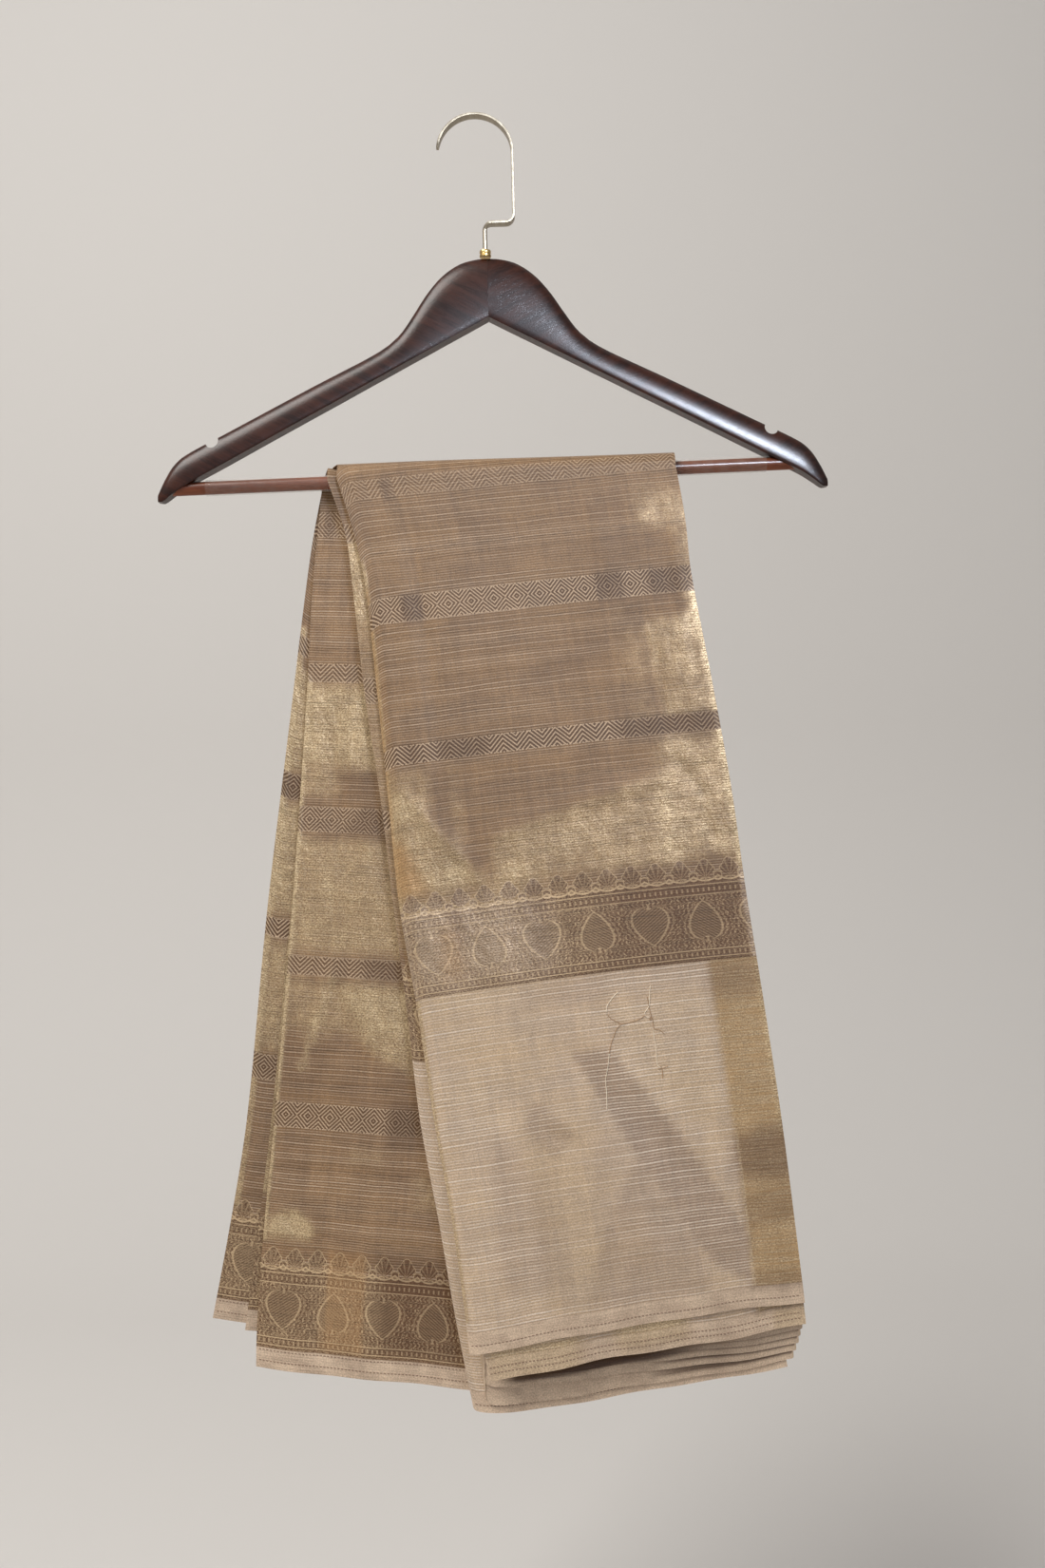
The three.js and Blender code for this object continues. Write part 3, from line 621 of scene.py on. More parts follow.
def woodMaterial(name, tilt, tints, shine):
    # long grain that runs along the piece, under lacquer
    material, b, skin = newMaterial(name)
    turned = b.node("ShaderNodeMapping")
    b.feed(turned.inputs["Vector"], b.node("ShaderNodeTexCoord").outputs["Object"])
    turned.inputs["Rotation"].default_value = (0, math.radians(tilt), 0)
    stretched = b.node("ShaderNodeMapping")
    b.feed(stretched.inputs["Vector"], turned.outputs[0])
    stretched.inputs["Scale"].default_value = (0.06, 0.8, 1)
    fibre = b.grain(stretched.outputs[0], 1300, 4, 0.65)
    figure = b.grain(stretched.outputs[0], 160, 2, 0.5)
    pores = b.between(b.grain(stretched.outputs[0], 2400, 2, 0.7), 0.6, 0.68)
    tone = b.between(b.add(b.times(fibre, 0.4), b.times(figure, 0.6)), 0.36, 0.64)
    peel = b.grain(b.node("ShaderNodeTexCoord").outputs["Object"], 850, 2)
    colour = b.blend(tone, tints[0], tints[1])
    colour = b.blend(b.times(pores, 0.6), colour, tints[2])
    b.feed(skin["Base Color"], colour)
    b.feed(skin["Roughness"], b.between(fibre, 0.3, 0.7, shine, shine + 0.12))
    skin["Coat Weight"].default_value = 0.36
    skin["Coat Roughness"].default_value = 0.25
    skin["Specular IOR Level"].default_value = 0.12
    skinned = b.relief(b.less(b.add(b.times(fibre, 0.3), peel), b.times(pores, 0.4)), 0.16, 0.0002)
    b.feed(skin["Normal"], skinned)
    b.feed(skin["Coat Normal"], skinned)
    return material


def metalMaterial(name, tint, rough, streakScale):
    material, b, skin = newMaterial(name)
    stretched = b.node("ShaderNodeMapping")
    b.feed(stretched.inputs["Vector"], b.node("ShaderNodeTexCoord").outputs["Object"])
    stretched.inputs["Scale"].default_value = (1, 0.08, 1)
    brushed = b.grain(stretched.outputs[0], streakScale, 3, 0.6)
    b.feed(skin["Base Color"], b.blend(b.between(brushed, 0.3, 0.7), tint[0], tint[1]))
    b.feed(skin["Roughness"], b.between(brushed, 0.3, 0.7, rough, rough + 0.05))
    skin["Metallic"].default_value = 0.9
    return material


def sleeveMaterial():
    material, b, skin = newMaterial("clearSleeve")
    haze = b.grain(b.node("ShaderNodeTexCoord").outputs["Object"], 240, 2)
    skin["Base Color"].default_value = paint(236, 230, 224)
    b.feed(skin["Roughness"], b.between(haze, 0.3, 0.7, 0.1, 0.24))
    rim = b.node("ShaderNodeLayerWeight")
    rim.inputs["Blend"].default_value = 0.5
    b.feed(skin["Alpha"], b.add(b.between(rim.outputs["Facing"], 0.45, 1.0, 0.0, 0.6), b.times(haze, 0.08)))
    skin["Coat Weight"].default_value = 0.6
    skin["Coat Roughness"].default_value = 0.08
    return material


def armPiece(name, side, material):
    stations = [arm["joint"]] + evenly(3, 60, 19) + evenly(66, 198, 22) + evenly(201, 220.4, 12)
    rings = []
    for out in stations:
        top, foot = read(arm["edges"], 1, out), read(arm["edges"], 2, out)
        half = arm["thick"] / 2 * read(arm["edges"], 3, out)
        rings.append([(arm["middle"] + side * out, half * deep, mix(foot, top, high))
                      for high, deep in arm["profile"]])
    piece = loftPiece(name, rings)
    out, z, radius = arm["notch"]
    bpy.ops.mesh.primitive_cylinder_add(
        vertices=40, radius=radius * mm, depth=0.03,
        location=((arm["middle"] + side * out) * mm, 0, z * mm), rotation=(math.pi / 2, 0, 0))
    cutAway(piece, bpy.context.active_object)
    middle = (bar["left"] + bar["right"]) / 2
    bpy.ops.mesh.primitive_cylinder_add(
        vertices=40, radius=(bar["radius"] + arm["boreClear"]) * mm,
        depth=(bar["right"] - bar["left"] + 0.5) * mm,
        location=(middle * mm, 0, barZ(middle) * mm), rotation=(0, math.pi / 2 - math.atan(bar["slope"]), 0))
    cutAway(piece, bpy.context.active_object)
    finishPiece(piece, material, "lacquered_wood", name)


def roundRing(x, radius, sides=40):
    turns = [turn * math.tau / sides for turn in range(sides)]
    return [(x, radius * math.sin(turn), barZ(x) + radius * math.cos(turn)) for turn in turns]


def barPieces():
    radius, bevel = bar["radius"], bar["bevel"]
    ends = [(bar["left"], radius - bevel), (bar["left"] + bevel, radius)]
    ends += [(x, radius) for x in evenly(bar["left"] + 3, bar["right"] - 3, 40)]
    ends += [(bar["right"] - bevel, radius), (bar["right"], radius - bevel)]
    rod = loftPiece("trouserBar", [roundRing(x, wide) for x, wide in ends])
    red = (paint(94, 46, 26), paint(130, 70, 42), paint(48, 22, 14))
    finishPiece(rod, woodMaterial("barWood", 0, red, 0.38), "bar_wood", "bar")
    outer, inner, edge = sleeve["outer"], sleeve["inner"], sleeve["edge"]
    line = [(sleeve["left"], inner + edge), (sleeve["left"], outer - edge), (sleeve["left"] + edge, outer)]
    line += [(x, outer) for x in evenly(sleeve["left"] + 2, sleeve["right"] - 2, 30)]
    line += [(sleeve["right"] - edge, outer), (sleeve["right"], outer - edge),
             (sleeve["right"], inner + edge),
             (sleeve["right"] - edge, inner)]
    line += [(x, inner) for x in evenly(sleeve["right"] - 2, sleeve["left"] + 2, 30)]
    line += [(sleeve["left"] + edge, inner)]
    tube = loftPiece("clearSleeveTube", [roundRing(x, wide) for x, wide in line], closed=True)
    finishPiece(tube, sleeveMaterial(), "clear_sleeve", "bar_sleeve")


def hookPath():
    bowX, bowZ, radius = hook["bow"]
    out, inn, level, stemX = hook["outerBend"], hook["innerBend"], hook["dogleg"], hook["stemX"]
    right = bowX + radius

    def arc(cx, cz, r, start, end, steps):
        return [(cx + r * math.cos(math.radians(a)), cz + r * math.sin(math.radians(a)))
                for a in evenly(start, end, steps)]

    points = arc(bowX, bowZ, radius, hook["tip"], 0, 44)
    points += [(right, z) for z in evenly(bowZ - 4, level + out + 3, 6)]
    points += arc(right - out, level + out, out, 0, -90, 12)
    points += arc(stemX + inn, level - inn, inn, 90, 180, 10)
    return points


def hookPiece():
    path = hookPath()
    rings = []
    for n, (x, z) in enumerate(path):
        before, after = path[max(0, n - 1)], path[min(len(path) - 1, n + 1)]
        along = Vector((after[0] - before[0], after[1] - before[1])).normalized()
        beside = Vector((-along.y, along.x))
        late = smooth(n, len(path) - 9, len(path) - 1)  # the strip is forged down to the round stem
        tip = 0.55 + 0.45 * smooth(n, 0, 2)
        flat = mix(hook["thick"] / 2, hook["stemRadius"], late)
        deep = mix(hook["deep"] / 2, hook["stemRadius"], late) * tip
        power = mix(0.28, 1, late)
        ring = []
        for turn in range(20):
            c, s = math.cos(turn * math.tau / 20), math.sin(turn * math.tau / 20)
            off = flat * math.copysign(abs(c) ** power, c)
            y = deep * math.copysign(abs(s) ** power, s)
            ring.append((x + beside.x * off, y, z + beside.y * off))
        rings.append(ring)
    low = path[-1][1]
    for z in evenly(low - 1, hook["stemEnd"], 6):
        rings.append([(hook["stemX"] + hook["stemRadius"] * -math.cos(turn * math.tau / 20),
                       hook["stemRadius"] * math.sin(turn * math.tau / 20), z) for turn in range(20)])
    piece = loftPiece("hookStrip", rings)
    champagne = (paint(148, 137, 119), paint(170, 160, 142))
    finishPiece(piece, metalMaterial("hookPlate", champagne, 0.34, 300), "hook_metal", "hook")


def collarPiece():
    rings = []
    for radius, z in collar:
        wide = max(radius, 0.05)
        rings.append([(hook["stemX"] + wide * math.cos(turn * math.tau / 32),
                       wide * math.sin(turn * math.tau / 32), z) for turn in range(32)])
    piece = loftPiece("brassCollar", rings)
    brass = (paint(170, 138, 82), paint(206, 178, 120))
    finishPiece(piece, metalMaterial("collarBrass", brass, 0.3, 600), "collar_brass", "ferrule")


def makeHanger():
    stain = (paint(36, 14, 7), paint(63, 30, 18), paint(20, 7, 4))
    armPiece("arm_left", -1, woodMaterial("leftArmWood", -27.6, stain, 0.3))
    armPiece("arm_right", 1, woodMaterial("rightArmWood", 27.6, stain, 0.3))
    print("arms made")
    barPieces()
    hookPiece()
    collarPiece()


# edges of each stretch: drop below the bar's axis, left edge, right edge
outerFront = [
    (0, -100.5, 120.5), (35, -90.4, 125.8), (70, -83.6, 128.7), (140, -77.5, 140.2), (210, -71.8, 151),
    (280, -66.2, 159.2), (350, -55.8, 168.6), (420, -46.8, 177.4), (490, -36, 184.6), (570, -26.8, 192),
    (600, -23.5, 194),
]
outerBack = [
    (0, -113, 108), (35, -120.6, 101), (70, -126.5, 94.5), (140, -137, 83), (280, -157.5, 61),
    (420, -174.8, 41), (490, -187.8, 28), (600, -211.5, 6),
]
secondBack = [
    (0, -101, 111), (70, -113, 99), (140, -122, 90), (280, -141, 72), (420, -158, 55), (610, -187, 27),
]
innerFront = [
    (0, -107, 104), (35, -96.4, 107), (70, -92.6, 110), (140, -86.4, 119.5), (210, -77.6, 128.5),
    (280, -70.9, 136.5), (350, -63.6, 144), (420, -57, 153.5), (490, -45.9, 163.5), (550, -37, 172.5),
    (611, -26.4, 183),
]
innerBack = [
    (0, -112.5, 99), (70, -121, 91), (140, -126.5, 85.5), (280, -139.7, 70), (420, -155, 55),
    (490, -163.5, 46.5), (560, -170.2, 42), (620, -172, 38),
]
# how far the layers stand apart: drop, at the left, the middle and the right
frontSpread = [
    (0, 0, 0, 0), (70, 1.4, 1.2, 1), (140, 2.6, 2.3, 1.8), (280, 5.2, 5, 3.4), (420, 9, 8.8, 5.3),
    (500, 11.6, 11.5, 6.4), (620, 15.4, 15, 8.1),
]
backSpread = [
    (0, 0, 0, 0), (140, 2, 1.8, 1.8), (280, 3.2, 3, 3.2), (420, 4.6, 4.4, 4.8), (620, 6.6, 6.4, 7),
]
pack = {
    "stackLeft": 2.5, "stackRight": 0.9, "from": -60, "to": 110, "curlWidth": 9, "curlDepth": 3,
    "wide": 222, "innerAt": 6.0, "hiddenAt": 6.8, "secondAt": 7.6, "outerAt": 8.9,
}


def stackAt(x):
    return mix(pack["stackLeft"], pack["stackRight"], smooth(x, pack["from"], pack["to"]))


def spreadAt(front, drop, x):
    edges, table = (outerFront, frontSpread) if front else (outerBack, backSpread)
    left, right = read(edges, 1, drop), read(edges, 2, drop)
    w = min(1, max(0, (x - left) / (right - left)))
    total = read(table, 1, drop) * (1 - w) * (1 - 2 * w) + read(table, 2, drop) * 4 * w * (1 - w)
    total += read(table, 3, drop) * w * (2 * w - 1)
    return max(0, total) * (1 + 0.12 * math.sin(7 * w + drop / 90))


def edgeX(half, drop, u):
    left = read(half["edges"], 1, drop) + half.get("leftIn", 0) * smooth(drop, -60, 200)
    left += half.get("topIn", 0) * (1 - smooth(drop, 10, 110))
    right = read(half["edges"], 2, drop) - half.get("rightIn", 0)
    return mix(left, right, u)


def hangLength(half, u):
    bowed = u ** half.get("sagTo", 1)
    return mix(half["left"], half["right"], u) + half.get("sag", 0) * 4 * bowed * (1 - bowed)


# creases: from and to (share across, millimetres along from the front hem), width and height; + stands out
outerCreases = [
    ((0.158, 540), (0.162, 370), 4.5, -0.7), ((0.115, 555), (0.12, 300), 8, 0.6),
    ((0.06, 357), (0.26, 300), 5, 1.3), ((0.29, 326), (0.52, 343), 6, 1.0),
    ((0.52, 343), (0.80, 352), 6, 1.2), ((0.832, 462), (0.842, 388), 4, -0.9),
    ((0.93, 460), (0.94, 390), 10, 1.7), ((0.855, 363), (0.915, 339), 2.6, -1.6),
    ((0.90, 349), (0.965, 364), 2.4, -1.0), ((0.905, 330), (0.925, 303), 3, -0.9),
    ((0.41, 182), (0.75, 78), 9, -1.3), ((0.50, 185), (0.86, 76), 8, 1.4),
    ((0.232, 102), (0.231, 8), 2.6, 0.8), ((0.219, 236), (0.205, 150), 2.2, -0.5),
    ((0.864, 212), (0.857, 12), 4, -0.8), ((0.29, 138), (0.41, 117), 4, -0.9),
    ((0.49, 105), (0.45, 26), 8, -0.9), ((0.03, 189), (0.22, 190), 1.6, -0.35),
    ((0.275, 195), (0.49, 196), 1.6, -0.35), ((0.70, 562), (0.75, 496), 7, 0.9),
    ((0.85, 548), (0.99, 524), 6, -0.9), ((0.62, 548), (0.33, 398), 18, 0.8),
    ((0.905, 446), (0.93, 410), 2.5, -0.8), ((0.97, 545), (0.96, 440), 5, 0.9),
    ((0.28, 250), (0.20, 60), 13, 0.7), ((0.62, 75), (0.70, 4), 9, 0.9),
    # behind
    ((0.2, 640), (0.34, 830), 9, -0.9), ((0.62, 650), (0.50, 860), 12, 1.3),
    ((0.82, 700), (0.78, 1090), 8, -1.0), ((0.14, 720), (0.10, 1100), 6, 0.9),
    ((0.36, 900), (0.58, 1050), 8, 1.4), ((0.44, 880), (0.66, 1020), 7, -1.2),
    ((0.9, 820), (0.84, 760), 3.5, -1.4), ((0.28, 1090), (0.30, 1160), 5, 1.0),
    ((0.7, 1060), (0.74, 1160), 6, 1.1),
]
innerCreases = [
    ((0.14, 945), (0.06, 1018), 3, -1.0), ((0.16, 958), (0.29, 1030), 8, 1.1),
    ((0.3, 800), (0.2, 900), 9, -1.0), ((0.08, 760), (0.12, 860), 6, 0.8),
    ((0.34, 1050), (0.35, 1200), 5, -1.1), ((0.2, 1100), (0.19, 1200), 6, 1.0),
    ((0.05, 1110), (0.17, 1135), 5, 1.2), ((0.5, 900), (0.45, 1100), 10, 1.0),
    ((0.7, 800), (0.8, 1100), 10, -1.0), ((0.1, 560), (0.12, 60), 8, 0.6), ((0.6, 240), (0.5, 30), 12, 1.0),
    ((0.3, 140), (0.36, 10), 9, -0.9),
]


def creaseLift(creases, u, along):
    lift = 0
    x = u * pack["wide"]
    for (u0, a0), (u1, a1), width, height in creases:
        if along < min(a0, a1) - 3 * width or along > max(a0, a1) + 3 * width:
            continue
        x0, x1 = u0 * pack["wide"], u1 * pack["wide"]
        run = Vector((x1 - x0, a1 - a0))
        t = (Vector((x - x0, along - a0)) @ run) / run.length_squared
        inside = min(1, max(0, t))
        away = math.hypot(x - x0 - run.x * inside, along - a0 - run.y * inside)
        if away < 3 * width:
            lift += height * math.exp(-(away / width) ** 2) * (0.4 + 0.6 * math.sin(math.pi * inside))
    return lift


def flareAt(stretch, x, drop, path):
    # the free left end of a layer lifts off the bar
    lifted = stretch.get("flare", 0) * (1 - smooth(x, -108, -95)) * (1 - smooth(drop, 10, 90))
    return lifted * (1 - smooth(path, 0.5, 1))


def clothPlace(stretch, path, u):
    # path runs -1 to 0 up the front, 0 to 1 over the bar, 1 to 2 down the back
    if 0 < path < 1:
        angle = math.pi * (0.5 - path)
        over = smooth(path, 0.35, 1)
        x = mix(edgeX(stretch["front"], 0, u), edgeX(stretch["back"], 0, u), over)
        radius = stretch["at"] + stretch["over"] * stackAt(x) + flareAt(stretch, x, 0, path)
        return Vector((x, -radius * math.sin(angle), barZ(x) + radius * math.cos(angle)))
    front = path <= 0
    half = stretch["front"] if front else stretch["back"]
    share = -path if front else path - 1
    hang = hangLength(half, u)
    ripple = stretch.get("ripple", 0) * share ** 8
    hang += ripple * (math.sin(9 * u + stretch["at"]) + 0.6 * math.sin(23 * u + 2 * stretch["at"]))
    drop = share * hang
    x = edgeX(half, drop, u)
    depth = stretch["at"] + stretch["over"] * stackAt(x) + half["share"] * spreadAt(front, drop, x)
    depth += flareAt(stretch, x, drop, path)
    if front and stretch.get("curled"):
        inFrom = max(0, 1 - (x - edgeX(half, drop, 0)) / pack["curlWidth"])
        depth -= pack["curlDepth"] * smooth(drop, 30, 160) * inFrom ** 2
    along = patternPlace(stretch, path, u)
    loose = smooth(drop, 4, 60)
    depth += loose * stretch.get("creased", 1) * creaseLift(stretch.get("creases", ()), u, along)
    wobble = noise.noise(Vector((x * 0.018, drop * 0.012, stretch["at"])))
    depth += loose * stretch.get("wobble", 0.5) * wobble
    return Vector((x, -depth if front else depth, barZ(x) - drop))


def patternPlace(stretch, path, u):
    # millimetres along the woven pattern, from the front hem
    atBar = mix(stretch["patternLeft"], stretch["patternRight"], u)
    fromEdge = max(0, 1 - u * pack["wide"] / pack["curlWidth"])
    atBar += stretch.get("bent", 0) * fromEdge ** 2 * smooth(path, -1, -0.7)
    if path <= 0:
        return atBar * (1 + path)
    arc = math.pi * (stretch["at"] + 1.5 * stretch["over"])
    if path < 1:
        return atBar + arc * path
    return mix(atBar + arc, stretch["total"], path - 1)


# light painted on the cloth: polygons (share across, millimetres along) with a soft rim and an amount; gold
# is painted sheen, shade painted shade, warm an orange tint, and clear how plainly the ribs show
def shadeOf(zones, u, along):
    total = 0
    x = u * pack["wide"]
    for corners, soft, amount in zones:
        soft *= 1.25 if soft < 4 else 2
        if along < min(a for _, a in corners) - soft or along > max(a for _, a in corners) + soft:
            continue
        inside = amount
        turn = 0
        points = [(cu * pack["wide"], ca) for cu, ca in corners]
        sides = list(zip(points, points[1:] + points[:1]))
        for (x0, a0), (x1, a1) in sides:
            turn += x0 * a1 - x1 * a0
        side = 1 if turn > 0 else -1
        for (x0, a0), (x1, a1) in sides:
            run = math.hypot(x1 - x0, a1 - a0)
            away = side * ((x1 - x0) * (along - a0) - (a1 - a0) * (x - x0)) / run
            inside *= smooth(away, -soft / 2, soft / 2)
            if not inside:
                break
        total = total + inside - total * inside
    return total


outerLight = {
    "goldSheen": [
        ([(0.835, 520), (0.98, 516), (1.03, 540), (0.86, 547)], 9, 0.5),
        ([(0.955, 440), (1.05, 440), (1.05, 530), (0.965, 530)], 7, 0.5),
        ([(0.985, 110), (1.05, 110), (1.05, 475), (0.985, 475)], 2, 0.8),
        ([(-0.05, 20), (0.012, 20), (0.012, 520), (-0.05, 520)], 2, 0.75),
        ([(0.864, 104), (0.872, 104), (0.866, 12), (0.858, 12)], 1.6, 0.95),
        ([(-0.05, 228), (0.46, 228), (0.40, 296), (-0.05, 296)], 20, 0.7),
        ([(0.842, 392), (1.05, 392), (1.05, 462), (0.822, 456)], 4, 0.58),
        ([(0.78, 296), (1.05, 296), (1.05, 378), (0.80, 382)], 12, 0.68),
        ([(0.28, 294), (0.82, 294), (0.82, 356), (0.52, 343), (0.28, 327)], 7, 0.62),
        ([(-0.02, 296), (0.27, 296), (0.055, 364), (-0.02, 364)], 5, 0.75),
        ([(0.17, 304), (0.21, 304), (0.22, 379), (0.18, 379)], 5, 0.35),
        ([(-0.02, 340), (0.13, 350), (0.13, 378), (-0.02, 378)], 7, 0.5),
        ([(0.72, 375), (0.84, 395), (0.82, 460), (0.74, 470)], 12, 0.3),
        ([(0.22, 140), (0.46, 140), (0.44, 15), (0.25, 15)], 14, 0.35),
        ([(0.5, 205), (0.86, 215), (0.86, 100), (0.74, 118)], 16, 0.35),
        ([(0.02, 226), (0.36, 226), (0.42, 185), (0.35, 150), (0.02, 150)], 16, 0.3),
        # behind
        ([(0.1, 640), (0.45, 650), (0.36, 700), (0.08, 690)], 8, 0.6),
        ([(-0.05, 700), (0.02, 700), (0.02, 1090), (-0.05, 1090)], 2.5, 0.8),
        ([(-0.05, 725), (0.3, 730), (0.2, 795), (-0.05, 795)], 6, 0.8),
        ([(0.55, 722), (1.05, 722), (1.05, 800), (0.7, 796)], 10, 0.7),
        ([(-0.05, 815), (0.24, 815), (0.4, 892), (-0.05, 892)], 8, 0.8),
        ([(0.62, 815), (0.95, 830), (0.9, 890), (0.5, 890)], 12, 0.5),
        ([(-0.05, 908), (0.12, 908), (0.3, 984), (-0.05, 984)], 9, 0.7),
        ([(0.45, 1004), (0.7, 1004), (0.95, 1082), (0.6, 1082)], 10, 0.5),
    ],
    "shade": [
        ([(0.858, 364), (0.872, 366), (0.918, 341), (0.904, 336)], 3.5, 0.95),
        ([(0.9, 336), (0.925, 336), (0.925, 345), (0.9, 345)], 3, 0.9),
        ([(0.897, 320), (0.92, 318), (0.93, 310), (0.915, 306)], 3, 0.6),
        ([(0.9, 412), (0.93, 410), (0.93, 422), (0.905, 422)], 4, 0.7),
        ([(0.86, 447), (0.94, 440), (0.94, 446), (0.88, 453)], 3, 0.55),
        ([(0.10, 472), (0.165, 472), (0.165, 492), (0.10, 492)], 2.5, 0.9),
        ([(0.70, 472), (0.79, 472), (0.79, 492), (0.70, 492)], 3, 0.85),
        ([(0.86, 472), (0.99, 472), (0.99, 492), (0.86, 492)], 5, 0.9),
        ([(0.12, 553), (0.145, 553), (0.145, 569), (0.12, 569)], 2.5, 0.8),
        ([(0.06, 378), (0.11, 378), (0.11, 396), (0.06, 396)], 3, 0.6),
        ([(0.155, 378), (0.31, 378), (0.31, 396), (0.155, 396)], 5, 0.75),
        ([(0.70, 378), (1.05, 378), (1.05, 396), (0.70, 396)], 8, 0.9),
        ([(0.36, 232), (0.42, 232), (0.43, 296), (0.35, 296)], 5, 0.5),
        ([(0.5, 226), (1.05, 226), (1.05, 298), (0.6, 298)], 30, 0.75),
        ([(0.14, 262), (0.18, 262), (0.18, 297), (0.14, 297)], 4, 0.7),
        ([(0.42, 181), (0.535, 180), (0.7, 119), (0.862, 46), (0.85, 18), (0.75, 30), (0.568, 109)],
         2.4, 0.72),
        ([(0.57, 110), (0.66, 76), (0.73, 34), (0.73, 14), (0.36, 14), (0.445, 66)], 4.5, 0.42),
        ([(0.30, 153), (0.40, 128), (0.33, 114), (0.25, 137)], 3.8, 0.55),
        ([(0.16, 136), (0.25, 112), (0.29, 70), (0.25, 28), (0.11, 32)], 6, 0.34),
        ([(0.24, 100), (0.33, 112), (0.33, 20), (0.25, 20)], 5, 0.2),
        ([(0.28, 228), (0.56, 226), (0.55, 211), (0.30, 214)], 6, 0.4),
        ([(0.84, 203), (1.05, 205), (1.05, 224), (0.84, 226)], 5, 0.55),
        ([(0.84, 86), (1.05, 80), (1.05, 122), (0.84, 112)], 7, 0.95),
        ([(0.84, 50), (1.05, 56), (1.05, 78), (0.84, 74)], 5, 0.5),
        ([(0.84, 10), (1.05, 10), (1.05, 22), (0.84, 24)], 5, 0.5),
        # behind
        ([(0.3, 698), (0.7, 698), (0.7, 725), (0.3, 725)], 20, 0.7),
        ([(-0.05, 795), (0.2, 795), (0.2, 815), (-0.05, 815)], 8, 0.8),
        ([(0.6, 890), (1.05, 890), (1.05, 908), (0.6, 908)], 10, 0.8),
        ([(0.0, 984), (0.5, 984), (0.5, 1004), (0.0, 1004)], 12, 0.6),
        ([(0.4, 1084), (0.9, 1084), (0.9, 1150), (0.4, 1150)], 24, 0.6),
    ],
    "warm": [
        ([(-0.02, 296), (0.09, 296), (0.03, 332), (-0.02, 332)], 6, 0.8),
        ([(-0.03, 330), (0.008, 330), (0.008, 500), (-0.03, 500)], 3, 0.6),
        ([(0.09, 240), (0.16, 240), (0.15, 275), (0.1, 270)], 6, 0.4),
        ([(0.6, 1090), (0.72, 1090), (0.72, 1150), (0.6, 1150)], 8, 0.6),
    ],
    "clear": [
        ([(-0.05, 8), (0.2, 8), (0.2, 232), (-0.05, 232)], 14, 1.0),
        ([(0.54, 60), (0.88, 20), (0.88, 232), (0.54, 232)], 20, 0.95),
        ([(0.2, 8), (0.24, 8), (0.24, 100), (0.21, 100)], 5, 1.0),
        ([(-0.05, 400), (0.5, 400), (0.5, 560), (-0.05, 560)], 40, 0.7),
        ([(-0.05, 980), (1.05, 980), (1.05, 1090), (-0.05, 1090)], 30, 0.9),
    ],
}
# the second stretch also gets painted sheen on its hem
secondLight = dict(outerLight, goldSheen=outerLight["goldSheen"] + [
    ([(0.0, -5), (0.3, -5), (0.3, 22), (0.0, 22)], 8, 0.9),
    ([(0.4, 2), (0.64, 2), (0.64, 26), (0.4, 26)], 8, 0.9),
    ([(0.9, -5), (1.05, -5), (1.05, 16), (0.9, 16)], 4, 0.9),
])
innerEnd = 1215


def fromBackHem(zones):
    # the same kind of table, measured up from the back hem of the inner stretch
    return [([(u, innerEnd - up) for u, up in corners], soft, amount) for corners, soft, amount in zones]


innerLight = {
    "goldSheen": [
        ([(-0.05, 515), (0.2, 515), (0.2, 572), (-0.05, 572)], 8, 0.8),
        ([(-0.05, 300), (0.2, 300), (0.2, 515), (-0.05, 515)], 8, 0.4),
    ] + fromBackHem([
        ([(-0.05, 398), (-0.05, 456), (0.6, 456), (0.5, 398)], 8, 0.85),
        ([(-0.05, 380), (-0.05, 398), (0.12, 398), (0.12, 380)], 6, 0.6),
        ([(-0.05, 276), (-0.05, 353), (0.7, 353), (0.7, 276)], 8, 0.7),
        ([(-0.05, 222), (-0.05, 260), (0.7, 260), (0.7, 222)], 10, 0.55),
        ([(0.16, 256), (0.6, 256), (0.6, 186), (0.29, 210)], 7, 0.75),
        ([(0.138, 266), (0.168, 266), (0.082, 198), (0.055, 198)], 3, 0.6),
        ([(0.01, 88), (0.15, 86), (0.17, 95), (0.1, 108), (0.01, 101)], 4, 1.0),
        ([(-0.05, 84), (-0.05, 460), (0.012, 460), (0.012, 84)], 2.5, 0.95),
        ([(0.24, 138), (0.36, 138), (0.36, 152), (0.24, 152)], 6, 0.4),
        ([(0.46, 112), (0.56, 112), (0.56, 138), (0.46, 138)], 6, 0.5),
    ]),
    "shade": fromBackHem([
        ([(0.36, 152), (0.9, 152), (0.9, 184), (0.36, 184)], 5, 0.85),
        ([(0.38, 16), (0.95, 16), (0.95, 84), (0.38, 84)], 9, 0.8),
        ([(0.0, 30), (0.16, 30), (0.16, 60), (0.0, 60)], 9, 0.4),
        ([(-0.05, 186), (0.14, 186), (0.14, 232), (-0.05, 238)], 6, 0.35),
        ([(0.25, 258), (0.8, 258), (0.8, 276), (0.25, 276)], 5, 0.8),
        ([(0.13, 353), (0.8, 353), (0.8, 376), (0.2, 376)], 5, 0.7),
        ([(0.11, 376), (0.8, 376), (0.8, 398), (0.11, 398)], 5, 0.4),
        ([(0.02, 549), (0.05, 549), (0.05, 570), (0.02, 570)], 3, 0.8),
    ]),
    "warm": fromBackHem([
        ([(0.2, 16), (0.33, 16), (0.33, 82), (0.22, 82)], 3.5, 0.5),
    ]),
    "clear": [
        ([(-0.05, 0), (1.05, 0), (1.05, 232), (-0.05, 232)], 10, 0.8),
    ] + fromBackHem([
        ([(-0.05, 84), (1.05, 84), (1.05, 156), (-0.05, 156)], 10, 1.0),
        ([(-0.05, 470), (0.6, 470), (0.6, 590), (-0.05, 590)], 14, 0.9),
    ]),
}
clearBase = 0.58

